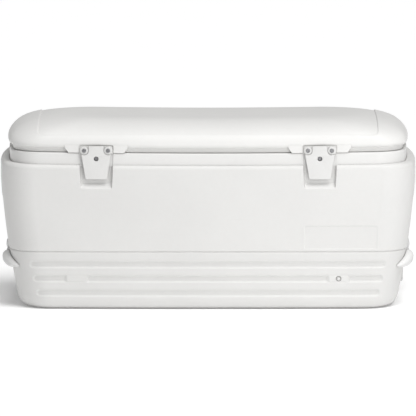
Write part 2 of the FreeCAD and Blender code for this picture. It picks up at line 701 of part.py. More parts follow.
for name, x in LATCHES.items():
    latch_base(f"latch_base_{name}", x)
    latch_flap(f"latch_flap_{name}", x)
    latch_post(f"latch_post_{name}", x)

# ---------------------------------------------------------------- hinges


def hinge_leaf(label, x, up):
    """One leaf of a rear hinge; up is +1 for the lid's leaf and -1 for the body's."""
    body = new_body(label)
    tall = "lid_leaf_tall" if up > 0 else "body_leaf_tall"
    face = (dim("lid_depth") / 2 if up > 0 else dim("collar_depth") / 2 + 0.3) - dim("hinge_y")
    start = 6.0 if up > 0 else -6.0
    plate = new_sketch(body, "XZ_Plane", label + "_plate", -face - dim("leaf_thick"))
    add_rectangle(plate, "leaf_wide", tall, 0, start + up * dim(tall) / 2)
    pad(body, plate, label + "_plate_pad", cell("leaf_thick"))
    knuckle, play = dim("knuckle_long"), dim("knuckle_play")
    if up > 0:
        spans = [(-knuckle / 2 + play / 2, knuckle / 2 - play / 2)]
    else:
        spans = [(-1.5 * knuckle, -knuckle / 2 - play / 2), (knuckle / 2 + play / 2, 1.5 * knuckle)]
    for number, (low, high) in enumerate(spans):
        barrel = new_sketch(body, "YZ_Plane", f"{label}_barrel_{number}", low)
        add_circle(barrel, "barrel_radius")
        pad(body, barrel, f"{label}_barrel_pad_{number}", f"{high - low}")
        web = new_sketch(body, "YZ_Plane", f"{label}_web_{number}", low)
        far = face + dim("leaf_thick")
        add_outline(web, [(face, 0), (far, 0), (far, start + up * 3), (face, start + up * 3)])
        pad(body, web, f"{label}_web_pad_{number}", f"{high - low}")
    bore = new_sketch(body, "YZ_Plane", label + "_bore", 0)
    add_circle(bore, "hinge_bore")
    pocket(body, bore, label + "_bore_cut", "200", midplane=True)
    holes = new_sketch(body, "XZ_Plane", label + "_holes", 0)
    group = "hinge_lid_screws" if up > 0 else "hinge_body_screws"
    for seat, _ in SCREW_PLACES[group]:
        if abs(seat[0] - x) < dim("leaf_wide") / 2:
            centre = Vector(seat[0] - x, seat[2] - dim("collar_top"), 0)
            holes.addGeometry(Part.Circle(centre, Vector(0, 0, 1), dim("shank_radius") + 0.1))
    pocket(body, holes, label + "_hole_cut", "60", midplane=True)
    body.Placement = Placement(Vector(x, dim("hinge_y"), dim("collar_top")), Rotation())
    return body


def pin(label, radius, length, centre, axis):
    """A plain round pin centred on a point."""
    made = doc.addObject("Part::Cylinder", label)
    made.Label = label
    made.setExpression("Radius", cell(radius))
    made.Height = length
    start = Vector(*centre) - Vector(*axis) * (length / 2)
    made.Placement = Placement(start, Rotation(Vector(0, 0, 1), Vector(*axis)))
    return made


for name, x in HINGES.items():
    hinge_leaf(f"hinge_leaf_lid_{name}", x, 1)
    hinge_leaf(f"hinge_leaf_body_{name}", x, -1)
    pin(f"hinge_pin_{name}", "hinge_pin", 3 * dim("knuckle_long"),
        (x, dim("hinge_y"), dim("collar_top")), (1, 0, 0))

# ---------------------------------------------------------------- swing handles


def handle(label, end):
    """A bail: a wide grip that hugs the end wall, and two arms with pivot eyes."""
    low, high = dim("grip_z") - dim("grip_tall") / 2, dim("grip_z") + dim("grip_tall") / 2
    reach = plan_outline(2 * dim("grip_reach"), dim("waist_depth") + 24, dim("shell_corner") + 10,
                         dim("end_bow"), dim("side_bow"), low)
    grip = Part.Face(reach).extrude(Vector(0, 0, high - low))
    outer = [e for e in grip.Edges if e.BoundBox.ZLength < 1e-4]
    grip = grip.makeFillet(9, outer)
    half, core = dim("grip_half"), dim("grip_core_half")
    grip = grip.common(block((300, FAR), (-half, half), (low, high)))
    grip = grip.cut(plain_base(1.4))
    core_low = dim("recess_foot") + 3
    grip = grip.fuse(block((dim("handle_x") - 2, dim("grip_reach") - 9), (-core, core), (core_low, high)))
    inner = [e for e in grip.Edges
             if abs(e.BoundBox.XMin - dim("handle_x") + 2) < 1e-4 and e.BoundBox.XLength < 1e-4
             and e.BoundBox.YLength > 2 * core - 1]
    grip = grip.makeFillet(5, inner)
    pivot_x, pivot_z = dim("handle_x"), dim("handle_z")
    arms = []
    for side in (-1, 1):
        y = side * dim("arm_offset")
        y_low, y_high = y - dim("arm_wide") / 2, y + dim("arm_wide") / 2
        half_thick = dim("arm_thick") / 2
        foot_x = dim("grip_reach") - 9 - half_thick
        outline = [(pivot_x - half_thick, pivot_z), (pivot_x + half_thick, pivot_z),
                   (foot_x + half_thick, high - 6), (foot_x - half_thick, high - 6)]
        wire = Part.makePolygon([Vector(u, y_low, w) for u, w in outline + outline[:1]])
        arm = Part.Face(wire).extrude(Vector(0, dim("arm_wide"), 0))
        eye = cylinder(dim("eye_outer"), (pivot_x, y_low, pivot_z), (pivot_x, y_high, pivot_z))
        arms += [arm, eye]
    made = grip.fuse(arms)
    bore = cylinder(dim("handle_bore"), (pivot_x, -FAR, pivot_z), (pivot_x, FAR, pivot_z))
    made = made.cut(bore)
    if end < 0:
        made = made.mirror(Vector(), Vector(1, 0, 0))
    return feature(label, made)


def handle_bracket(label, end, side):
    """A screwed plate with two ears that carry one arm's pin."""
    body = new_body(label)
    plate = new_sketch(body, "YZ_Plane", label + "_plate", 0)
    add_rectangle(plate, "bracket_wide", "bracket_tall")
    pad(body, plate, label + "_plate_pad", cell("bracket_thick"))
    inner = dim("arm_wide") / 2 + dim("ear_play")
    lift = dim("handle_x") - dim("recess_face")
    for number, start in enumerate((inner, -inner - dim("ear_thick"))):
        ear = new_sketch(body, "XZ_Plane", f"{label}_ear_{number}", -start - dim("ear_thick"))
        add_outline(ear, [(0, -12), (lift + 4, -8), (lift + 8, -4), (lift + 8, 4), (lift + 4, 8),
                          (0, 12)])
        pad(body, ear, f"{label}_ear_pad_{number}", cell("ear_thick"))
    bore = new_sketch(body, "XZ_Plane", label + "_bore", 0)
    add_circle(bore, "handle_bore", lift, 0)
    pocket(body, bore, label + "_bore_cut", "200", midplane=True)
    holes = new_sketch(body, "YZ_Plane", label + "_holes", 0)
    for across in (-18, 18):
        holes.addGeometry(Part.Circle(Vector(across, 0, 0), Vector(0, 0, 1),
                                      dim("shank_radius") + 0.1))
    pocket(body, holes, label + "_hole_cut", "20", midplane=True)
    turn = Rotation() if end > 0 else Rotation(Vector(0, 0, 1), 180)
    place = Vector(end * dim("recess_face"), side * dim("arm_offset"), dim("handle_z"))
    body.Placement = Placement(place, turn)
    return body


handle_pins = []
for end_name, end in ENDS.items():
    handle(f"handle_{end_name}", end)
    for side_name, side in (("front", -1), ("rear", 1)):
        handle_bracket(f"handle_bracket_{end_name}_{side_name}", end, side)
        half_pin = dim("arm_wide") / 2 + dim("ear_play") + dim("ear_thick") + 0.8
        y = side * dim("arm_offset")
        handle_pins.append(cylinder(dim("handle_pin"),
                                    (end * dim("handle_x"), y - half_pin, dim("handle_z")),
                                    (end * dim("handle_x"), y + half_pin, dim("handle_z"))))
feature("handle_pins", Part.makeCompound(handle_pins))

# ---------------------------------------------------------------- screw groups

for group, places in SCREW_PLACES.items():
    feature(group, Part.makeCompound([screw(seat, out, SCREW_LONG[group]) for seat, out in places]))

# ---------------------------------------------------------------- drain and foam port


def revolved(label, rings):
    """A turned piece about the drain's axis: rings of (radius, distance out) in order."""
    body = new_body(label)
    profile = new_sketch(body, "XZ_Plane", label + "_profile")
    add_outline(profile, rings)
    turned = body.newObject("PartDesign::Revolution", label + "_turn")
    turned.Profile = profile
    turned.ReferenceAxis = (profile, ["H_Axis"])
    turned.Angle = 360
    doc.recompute()
    body.Placement = Placement(Vector(0, 0, dim("drain_z")), Rotation())
    return body


inside_x = dim("floor_length") / 2 + (dim("bay_length") - dim("floor_length")) / 2 * (
    (dim("drain_z") - dim("floor_height")) / (dim("collar_top") - dim("floor_height")))
inside_x = round(inside_x, 1) - 0.7
face = dim("drain_face")
bore, neck, rim = dim("drain_bore"), dim("drain_neck"), dim("drain_flange")
gasket = dim("gasket_thick")
flange_out = face + gasket + 3
neck_end = face + 17
revolved("drain_fitting", [(inside_x - 7, bore), (neck_end, bore), (neck_end, neck),
                           (flange_out, neck), (flange_out, rim), (face + gasket, rim),
                           (face + gasket, neck), (inside_x - 7, neck)])
revolved("drain_gasket", [(face, neck + 0.2), (face + gasket, neck + 0.2),
                          (face + gasket, rim - 1), (face, rim - 1)])
revolved("drain_nut", [(inside_x - dim("nut_thick"), neck + 0.05), (inside_x, neck + 0.05),
                       (inside_x, dim("nut_radius")), (inside_x - dim("nut_thick"), dim("nut_radius"))])
cap_foot = flange_out + 2
cap_head = cap_foot + dim("cap_long")
revolved("drain_cap", [(cap_foot, neck + 0.4), (neck_end + 0.5, neck + 0.4), (neck_end + 0.5, 0),
                       (cap_head, 0), (cap_head, dim("cap_radius") - 2),
                       (cap_head - 2, dim("cap_radius")), (cap_foot, dim("cap_radius"))])

z = dim("drain_z")
ring = cylinder(neck + 3.4, (flange_out + 0.2, 0, z), (flange_out + 1.7, 0, z))
strap = block((flange_out + 0.2, flange_out + 1.7), (neck, 20.5), (z - 3.5, z + 3.5))
tail = block((flange_out + 0.2, cap_head - 4), (19.0, 20.5), (z - 3.5, z + 3.5))
tether = ring.fuse([strap, tail]).cut(cylinder(neck + 0.2, (face, 0, z), (neck_end, 0, z)))
feature("drain_tether", tether)

feature("foam_port_plug", port_bore(dim("port_radius")))

# ---------------------------------------------------------------- checks and export

doc.recompute()
PARTS = [o for o in doc.Objects
         if o.TypeId == "PartDesign::Body" or o.TypeId in ("Part::Feature", "Part::Cylinder")]
for made in doc.Objects:
    if any(state in ("Invalid", "Error") for state in made.State):
        raise RuntimeError(f"{made.Label} failed: {made.State}")
for made in PARTS:
    if made.Shape.isNull() or not made.Shape.isValid():
        raise RuntimeError(f"{made.Label} has no valid shape")

os.makedirs("parts", exist_ok=True)
for made in PARTS:
    made.Shape.exportStep(f"parts/{made.Label}.step")
    box = made.Shape.BoundBox
    print(f"{made.Label:28s} solids {len(made.Shape.Solids)} volume {made.Shape.Volume / 1000:9.1f} cm3 "
          f"x {box.XMin:7.1f} {box.XMax:7.1f} y {box.YMin:7.1f} {box.YMax:7.1f} "
          f"z {box.ZMin:6.1f} {box.ZMax:6.1f}")
print(len(PARTS), "parts written")
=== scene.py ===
import json
import math

import bmesh
import bpy
import numpy as np
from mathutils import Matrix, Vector


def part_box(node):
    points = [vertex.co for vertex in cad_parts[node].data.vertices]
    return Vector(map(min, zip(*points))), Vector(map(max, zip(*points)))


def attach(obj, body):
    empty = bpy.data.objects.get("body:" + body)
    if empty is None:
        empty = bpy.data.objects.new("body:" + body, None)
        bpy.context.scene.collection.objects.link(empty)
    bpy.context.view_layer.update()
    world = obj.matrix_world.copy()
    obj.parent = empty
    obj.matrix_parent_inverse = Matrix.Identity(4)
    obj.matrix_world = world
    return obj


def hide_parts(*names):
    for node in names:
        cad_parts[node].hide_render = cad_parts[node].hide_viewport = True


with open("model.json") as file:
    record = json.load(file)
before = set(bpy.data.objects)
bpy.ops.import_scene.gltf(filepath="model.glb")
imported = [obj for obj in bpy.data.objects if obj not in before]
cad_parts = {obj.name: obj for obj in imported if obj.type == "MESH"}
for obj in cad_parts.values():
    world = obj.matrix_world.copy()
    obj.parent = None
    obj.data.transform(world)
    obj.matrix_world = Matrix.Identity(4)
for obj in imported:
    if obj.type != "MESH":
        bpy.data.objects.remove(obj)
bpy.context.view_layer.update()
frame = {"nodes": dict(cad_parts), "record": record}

MM = 0.001

# ---------------------------------------------------------------- sizes, in millimetres


def node_box(name):
    """A CAD node's lowest and highest corners in millimetres."""
    low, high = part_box(name)
    return Vector(low) / MM, Vector(high) / MM


SHELL_HIGH = node_box("outer_shell")[1]
LINER_HIGH = node_box("inner_liner")[1]
LID_LOW, LID_HIGH = node_box("lid_shell")
FLAP_LOW, FLAP_HIGH = node_box("latch_flap_right")
PORT_LOW, PORT_HIGH = node_box("foam_port_plug")

SHELL_X, SHELL_Y, SHELL_TOP = SHELL_HIGH.x, SHELL_HIGH.y, SHELL_HIGH.z
LIP_X, LIP_Y = LID_HIGH.x, LID_HIGH.y
RIM_X, RIM_Y, RIM_TOP = LINER_HIGH.x, LINER_HIGH.y, LINER_HIGH.z
LATCH_X = (FLAP_LOW.x + FLAP_HIGH.x) / 2
LATCHES = (-LATCH_X, LATCH_X)
PORT_X, PORT_Z = (PORT_LOW.x + PORT_HIGH.x) / 2, (PORT_LOW.z + PORT_HIGH.z) / 2
HINGES = (-300.0, 0.0, 300.0)
ARM_Y = 95.0

END_BOW, SIDE_BOW, SHELL_CORNER = 18.0, 6.0, 80.0
LEDGE_Z, LEDGE_X, LEDGE_Y, LEDGE_BACK = 140.0, 476.5, 217.0, 0.6
FOOT_X, FOOT_Y, FOOT_ROUND = 450.5, 200.0, 32.0
WALL_TOP, SHOULDER = 299.0, 10.0
FLUTES = ((109.0, 421.0), (74.7, 413.5), (40.4, 406.0))
FLUTE_HALF, FLUTE_FLAT, FLUTE_DEEP = 9.6, 4.2, 3.6
PADS = (-309.0, 307.0)
PORT_FACE = -203.6
RECESS_FACE, RECESS_Y, RECESS_MID, RECESS_Z, RECESS_CORNER = 455.0, 125.0, 177.0, 80.0, 14.0
DRAIN_FACE, DRAIN_Z, DRAIN_R = 444.0, 58.0, 26.0
RECESS_CLEAR, DRAIN_CLEAR = 86.0, 30.0
POCKET_FACE, POCKET_FOOT, POCKET_SLOPE = 210.5, 287.5, 14.0
POCKET_FOOT_HALF, POCKET_MID_HALF, POCKET_TOP_HALF = 36.0, 38.0, 40.0
COLLAR_CORNER, BAY_BOW, LINER_FOOT = 72.0, 18.0, SHELL_TOP - 4.0
BLANK_X, BLANK_Z, BLANK_HALF_X, BLANK_HALF_Z, BLANK_DEEP = 311.0, 174.0, 85.0, 27.0, 0.9
PORT_RADIUS, PORT_DEEP = 6.25, 5.0
LID_FOOT, CEILING, LIP_Z, LID_CORNER = LID_LOW.z, 385.0, 393.0, 76.0
PANEL_X, PANEL_Y, PANEL_SINK, PANEL_CORNER = 399.0, 205.0, 2.5, 16.0
TAB_HALF, TAB_LEAN, TAB_MID, TAB_INSET = 70.0, 0.8, 379.0, 0.5
NICHE_HALF, NICHE_TOP, NICHE_HALF_Z, NICHE_FACE = 40.0, 392.5, 40.0, 211.5
HINGE_PAD_HALF, BARREL_Y, BARREL_CLEAR = 38.0, 219.0, 5.6

# ---------------------------------------------------------------- small maths


def smooth_step(low, high, value):
    """0 below low, 1 above high, and an S curve between."""
    t = np.clip((value - low) / (high - low), 0.0, 1.0)
    return t * t * (3 - 2 * t)


def lerp(a, b, share):
    """From a to b by a share of the way."""
    return a + (b - a) * share


def stations(low, high, gap, *runs):
    """Ascending places from low to high: finer along each (start, stop, step) run."""
    marks = {low, high}
    for start, stop, step in runs:
        count = max(1, round((stop - start) / step))
        marks.update(start + (stop - start) * k / count for k in range(count + 1))
    marks = sorted(m for m in marks if low <= m <= high)
    places = [marks[0]]
    for mark in marks[1:]:
        if mark - places[-1] < 0.22:
            continue
        before, count = places[-1], math.ceil((mark - places[-1]) / gap - 1e-6)
        places += [before + (mark - before) * k / count for k in range(1, count + 1)]
    return np.array(places)


def edge_runs(middle, half, *runs):
    """Runs for stations at a feature's two edges; each is (reach either side, step)."""
    return [(edge - reach, edge + reach, step)
            for edge in (middle - half, middle + half) for reach, step in runs]


def box_distance(u, v, half_u, half_v, corner):
    """Signed distance to a rounded rectangle centred on (0, 0), below 0 inside."""
    over_u = np.abs(u) - half_u + corner
    over_v = np.abs(v) - half_v + corner
    outside = np.hypot(np.maximum(over_u, 0), np.maximum(over_v, 0))
    return outside + np.minimum(np.maximum(over_u, over_v), 0) - corner


class Plan:
    """Plan outlines with bowed ends and sides and round corners: one outline for each row."""

    def __init__(self, half_x, half_y, corner, end_bow=END_BOW, side_bow=SIDE_BOW):
        a, b, r, end_bow, side_bow = np.broadcast_arrays(
            *(np.asarray(v, float).reshape(-1, 1) for v in (half_x, half_y, corner, end_bow, side_bow)))
        self.a, self.b, self.r = a, b, r
        self.end_r = (b * b + end_bow ** 2) / (2 * end_bow)
        self.side_r = (a * a + side_bow ** 2) / (2 * side_bow)
        self.end_c, self.side_c = a - self.end_r, b - self.side_r
        reach_e, reach_s = self.end_r - r, self.side_r - r
        span = np.hypot(self.end_c, self.side_c)
        ux, uy = -self.end_c / span, self.side_c / span
        along = (reach_e ** 2 - reach_s ** 2 + span ** 2) / (2 * span)
        across = np.sqrt(np.maximum(reach_e ** 2 - along ** 2, 0))
        first = (self.end_c + ux * along - uy * across, uy * along + ux * across)
        second = (self.end_c + ux * along + uy * across, uy * along - ux * across)
        pick = first[0] + first[1] > second[0] + second[1]
        self.cx = np.where(pick, first[0], second[0])
        self.cy = np.where(pick, first[1], second[1])
        self.t1 = np.arctan2(self.cy, self.cx - self.end_c)
        self.t2 = np.arctan2(self.cy - self.side_c, self.cx)

    def at(self, turn):
        """Point and outward normal where the normal has turned from +X towards +Y."""
        nx, ny = np.cos(turn), np.sin(turn)
        on_end, on_corner = turn < self.t1, turn < self.t2
        x = np.where(on_end, self.end_c + self.end_r * nx,
                     np.where(on_corner, self.cx + self.r * nx, self.side_r * nx))
        y = np.where(on_end, self.end_r * ny,
                     np.where(on_corner, self.cy + self.r * ny, self.side_c + self.side_r * ny))
        return x, y, nx, ny

    def turns(self, ends, sides, corner_count):
        """Normal turns of one quadrant's columns: along the end, round the corner, along the side."""
        first = np.arcsin(np.asarray(ends) / self.end_r)
        last = np.arccos(np.asarray(sides) / self.side_r)
        low, high = first[:, -1:], last[:, :1]
        leg_1 = self.end_r * (self.t1 - low)
        leg_2 = self.r * (self.t2 - self.t1)
        leg_3 = self.side_r * (high - self.t2)
        s = np.arange(1, corner_count + 1) / (corner_count + 1) * (leg_1 + leg_2 + leg_3)
        middle = np.where(s < leg_1, low + s / self.end_r,
                          np.where(s < leg_1 + leg_2, self.t1 + (s - leg_1) / self.r,
                                   self.t2 + (s - leg_1 - leg_2) / self.side_r))
        return np.concatenate([first, middle, last], axis=1)

    def ring(self, columns, warp=None):
        """The whole outline, counter-clockwise from the right end's middle: x, y, nx, ny.

        Columns gives each quadrant's (end places, side places, corner count), in the order
        right rear, left rear, left front, right front. Places are distances from the middle.
        """
        rows = self.a.shape[0]
        parts = []
        for index, (ends, sides, corner_count) in enumerate(columns):
            sx, sy = ((1, 1), (-1, 1), (-1, -1), (1, -1))[index]
            ends = np.broadcast_to(np.asarray(ends, float), (rows, len(ends)))
            sides = np.broadcast_to(np.asarray(sides, float)[::-1], (rows, len(sides)))
            if warp is not None:
                sides = warp(sides, sy < 0)
            x, y, nx, ny = self.at(self.turns(ends, sides, corner_count))
            block = np.stack([x * sx, y * sy, nx * sx, ny * sy])
            parts.append(block[:, :, :-1] if sx == sy else block[:, :, :0:-1])
        return np.concatenate(parts, axis=2)


# ---------------------------------------------------------------- mesh building


class Skin:
    """Gathers points and faces in millimetres and turns them into one object."""

    def __init__(self):
        self.points, self.faces, self.total = [], [], 0

    def add(self, points):
        """Take in points and return their indices."""
        points = np.asarray(points, float).reshape(-1, 3)
        start = self.total
        self.points.append(points)
        self.total += len(points)
        return np.arange(start, self.total)

    def quads(self, grid, skip=None):
        """Quads between the rows of an index grid of closed rings; skip marks cells that stay open."""
        ahead = np.roll(grid, -1, axis=1)
        cells = np.stack([grid[:-1], ahead[:-1], ahead[1:], grid[1:]], axis=-1)
        keep = np.ones(cells.shape[:2], bool) if skip is None else ~skip
        self.faces += [tuple(c) for c in cells[keep].tolist()]

    def sheet(self, x, y, z, skip=None):
        """A grid of points, rows by columns, and its quads; returns the index grid."""
        grid = self.add(np.stack([x, y, z], axis=-1)).reshape(x.shape)
        self.quads(grid, skip)
        return grid

    def cap(self, loop):
        """One face across a ring of points."""
        self.faces.append(tuple(int(i) for i in loop))

    def tube(self, rings):
        """Quads between rings of points, with a cap on the first and the last."""
        ids = [self.add(ring) for ring in rings]
        self.quads(np.stack(ids))
        self.cap(ids[0][::-1])
        self.cap(ids[-1])

    def build(self, name, weld=0.02, sharp=40.0):
        """The finished piece."""
        mesh = bpy.data.meshes.new(name)
        mesh.from_pydata((np.concatenate(self.points) * MM).tolist(), [], self.faces)
        return settle(mesh, name, weld, sharp)


def settle(mesh, name, weld=0.02, sharp=40.0):
    """Weld, drop empty faces, face outwards, and shade smooth between sharp creases."""
    work = bmesh.new()
    work.from_mesh(mesh)
    bmesh.ops.remove_doubles(work, verts=work.verts, dist=weld * MM)
    bmesh.ops.dissolve_degenerate(work, edges=work.edges, dist=weld * MM * 0.5)
    loose = [v for v in work.verts if not v.link_faces]
    bmesh.ops.delete(work, geom=loose, context="VERTS")
    bmesh.ops.recalc_face_normals(work, faces=work.faces)
    work.to_mesh(mesh)
    work.free()
    mesh.shade_smooth()
    mesh.set_sharp_from_angle(angle=math.radians(sharp))
    piece = bpy.data.objects.new(name, mesh)
    bpy.context.scene.collection.objects.link(piece)
    return piece


def hang_of(x):
    """How much higher a long moulding stands than the CAD: less than nothing at mid-length."""
    return 4.1 * ((x / 470.0) ** 2 - 0.318)


def body_sag(x, z):
    """The hang of the body, which starts at the ledge and is whole at the top."""
    return hang_of(x) * smooth_step(LEDGE_Z, SHELL_TOP, z)


def octant_ring(u, v, half_u, half_v, straight_u, straight_v, corner):
    """Move points on a rectangle's edge to matching places on a rounded rectangle."""
    on_side = np.abs(u) / half_u >= np.abs(v) / half_v
    quarter = corner * math.pi / 4
    s = np.where(on_side, np.abs(v) / half_v * (straight_v + quarter),
                 np.abs(u) / half_u * (straight_u + quarter))
    turn_v = np.maximum(s - straight_v, 0) / corner
    turn_u = np.maximum(s - straight_u, 0) / corner
    new_u = np.where(on_side, straight_u + corner * np.cos(turn_v),
                     np.minimum(s, straight_u) + corner * np.sin(turn_u))
    new_v = np.where(on_side, np.minimum(s, straight_v) + corner * np.sin(turn_v),
                     straight_v + corner * np.cos(turn_u))
    return np.sign(u) * new_u, np.sign(v) * new_v


# ---------------------------------------------------------------- the outer shell


def shell_half(z, foot, ledge, top):
    """Half the shell's size at heights up to the shoulder, in one direction."""
    lean = math.atan2(ledge - LEDGE_BACK - foot, LEDGE_Z)
    line = foot + (ledge - LEDGE_BACK - foot) * z / LEDGE_Z
    centre = foot + (ledge - LEDGE_BACK - foot) * FOOT_ROUND / LEDGE_Z - FOOT_ROUND / math.cos(lean)
    round_top = FOOT_ROUND * (1 - math.sin(lean))
    rounded = centre + np.sqrt(np.maximum(FOOT_ROUND ** 2 - (FOOT_ROUND - z) ** 2, 0))
    base = np.where(z < round_top, rounded, line)
    t = np.clip((z - LEDGE_Z) / (WALL_TOP - LEDGE_Z), 0, 1)
    wall = ledge + (top - ledge) * (1 - (1 - t) ** 1.35)
    up = np.clip(z - (SHELL_TOP - SHOULDER), 0, SHOULDER)
    wall = wall - SHOULDER + np.sqrt(np.maximum(SHOULDER ** 2 - up ** 2, 0))
    return np.where(z < LEDGE_Z, base, wall)


def ledge_groove(z):
    """Depth of the groove between the upper wall and the base: rounded above and below."""
    above = np.clip((LEDGE_Z + 3.5 - z) / 3.5, 0, 1)
    below = np.clip((z - LEDGE_Z + 5.5) / 5.5, 0, 1)
    share = np.where(z >= LEDGE_Z, above, below)
    return 3.0 * (1 - np.sqrt(1 - share ** 2))


def flute_depth(x, y, z):
    """Depth of the flutes on the front and back, with the two flat pads standing in one."""
    depth = np.zeros_like(x + z)
    for index, (middle, reach) in enumerate(FLUTES):
        run = np.maximum(np.abs(x) - (reach - FLUTE_HALF), 0)
        away = np.hypot(run, z - middle)
        one = FLUTE_DEEP * (1 - smooth_step(FLUTE_FLAT, FLUTE_HALF, away))
        if index == 1:
            for pad in PADS:
                island = 1 - smooth_step(-1.4, 1.6, box_distance(x - pad, z - middle, 25.0, 7.6, 3.5))
                one = np.where(y < 0, one * (1 - island), one)
        depth = np.maximum(depth, one)
    return depth


def panel_depth(x, y, z):
    """The shallow blank panel on the front wall."""
    away = box_distance(x - BLANK_X, z - BLANK_Z, BLANK_HALF_X, BLANK_HALF_Z, 3.0)
    return np.where(y < 0, BLANK_DEEP * (1 - smooth_step(-0.9, 0.9, away)), 0.0)


def port_depth(x, y, z):
    """The round hollow for the foam port's plug, in the right-hand pad."""
    away = np.hypot(x - PADS[1], z - FLUTES[1][0])
    sunk = 1 - smooth_step(PORT_RADIUS - 0.65, PORT_RADIUS + 0.65, away)
    return np.where(y < 0, PORT_DEEP * sunk, 0.0)


def pocket_half(z):
    """Half a latch pocket's width at a height."""
    share = np.clip((z - POCKET_FOOT) / (RIM_TOP - POCKET_FOOT), 0, 1)
    return POCKET_FOOT_HALF + (POCKET_TOP_HALF - POCKET_FOOT_HALF) * share


def carve_pockets(x, y, z, face):
    """Sink the latch pockets into a front wall: steep sides, a sloped foot."""
    for middle in LATCHES:
        half = pocket_half(z)
        side = smooth_step(-1.3, 1.9, half - np.abs(x - middle))
        floor = -(face + np.clip(POCKET_FOOT + POCKET_SLOPE - z, 0, 60.0))
        near_side = smooth_step(12, 0, half - np.abs(x - middle))
        corner = np.clip(8.0 - (z - POCKET_FOOT), 0, 8) ** 2 / 16 * near_side
        deeper = np.maximum(y, floor - corner)
        blend = smooth_step(0.0, 1.2, deeper - y)
        sunk = lerp(y, deeper, side)
        y = np.where((y < 0) & (z > POCKET_FOOT - 2), lerp(y, sunk, blend), y)
    return y


def spread(sides, half, reach, shift):
    """Move the columns beside a latch feature's two edges outwards by a shift."""
    away = sides - LATCH_X
    near = np.clip(1 - np.abs(np.abs(away) - half) / reach, 0, 1)
    return sides + np.sign(away) * shift * near


def pocket_warp(z):
    """Let the columns beside a latch pocket follow its slightly tapered sides."""
    change = (pocket_half(z) - POCKET_MID_HALF).reshape(-1, 1)

    def warp(sides, on_front):
        return spread(sides, POCKET_MID_HALF, 12.0, change) if on_front else sides
    return warp


POCKET_RUNS = edge_runs(LATCH_X, POCKET_MID_HALF, (1.5, 0.6), (4.0, 2.0))


def shell_rows():
    """Heights of the shell's rows from the floor to the shoulder's top."""
    turns = np.radians(np.arange(0, 80, 8.0))
    fillet = FOOT_ROUND * (1 - np.cos(turns))
    runs = [(LEDGE_Z - 5.5, LEDGE_Z - 2.0, 0.9), (LEDGE_Z - 2.0, LEDGE_Z + 3.5, 0.55),
            *edge_runs(BLANK_Z, BLANK_HALF_Z, (2.0, 1.0)),
            (RECESS_MID + 66, RECESS_MID + RECESS_CLEAR, 3.3),
            (RECESS_MID - RECESS_CLEAR, RECESS_MID - RECESS_Z, 3.0),
            (POCKET_FOOT - 3.0, POCKET_FOOT + POCKET_SLOPE + 2, 1.6),
            (DRAIN_Z + DRAIN_CLEAR, DRAIN_Z + DRAIN_CLEAR, 1)]
    for middle, _ in FLUTES:
        runs += [(middle - FLUTE_HALF, middle - FLUTE_FLAT, 0.9),
                 (middle + FLUTE_FLAT, middle + FLUTE_HALF, 0.9),
                 (middle - FLUTE_HALF - 1, middle - FLUTE_HALF - 1, 1), (middle, middle, 1)]
    port = FLUTES[1][0]
    runs.append((port - PORT_RADIUS - 0.75, port + PORT_RADIUS + 0.75, 0.85))
    straight = stations(28.0, SHELL_TOP - SHOULDER, 12.0, *runs)
    top = SHELL_TOP - SHOULDER + SHOULDER * np.sin(np.radians(np.arange(12, 91, 13.0)))
    return np.concatenate([fillet, straight, top])


def recess(skin, grid, rows, cols, end, mid_z, half_y, half_z, corner, face, edge, foot):
    """Fill a rectangular opening in an end wall with a hollow.

    Its mouth is rounded by edge, its foot by foot, and its flat floor stands at x = face.
    """
    low, high = rows
    left, right = cols
    loop = ([(low, c) for c in range(left, right)] + [(r, right) for r in range(low, high)]
            + [(high, c) for c in range(right, left, -1)] + [(r, left) for r in range(high, low, -1)])
    indices = np.array([grid[r, c % grid.shape[1]] for r, c in loop])
    points = np.concatenate(skin.points)[indices]
    u, v = points[:, 1], points[:, 2] - mid_z
    rect_u, rect_v = np.abs(u).max(), np.abs(v).max()
    # each step: how far outside the corner radius, then the depth below the wall or above the floor
    turns = np.radians((0, 30, 60, 90))
    steps = [(edge * (1 - math.sin(t)), edge * (1 - math.cos(t)), None) for t in turns]
    steps += [(-foot * (1 - math.cos(t)) - 0.6, None, foot * (1 - math.sin(t))) for t in turns]
    steps.append((-foot - 8.0, None, 0.0))
    before = indices
    for out, sunk, above in steps:
        r = max(corner + out, 1.0)
        new_u, new_v = octant_ring(u, v, rect_u, rect_v, half_y - corner, half_z - corner, r)
        if sunk is not None:
            x = end_wall(new_u, new_v + mid_z) - sunk
        else:
            x = np.full_like(new_u, face + above)
        ring = skin.add(np.stack([end * x, new_u, new_v + mid_z], axis=-1))
        skin.quads(np.stack([before, ring]))
        before = ring
    skin.cap(before)


def end_wall(y, z):
    """How far out the shell's end stands at a place on it."""
    half_x = shell_half(z, FOOT_X, LEDGE_X, SHELL_X) - ledge_groove(z)
    half_y = shell_half(z, FOOT_Y, LEDGE_Y, SHELL_Y) - ledge_groove(z)
    radius = (half_y ** 2 + END_BOW ** 2) / (2 * END_BOW)
    return half_x - radius + np.sqrt(radius ** 2 - y ** 2)


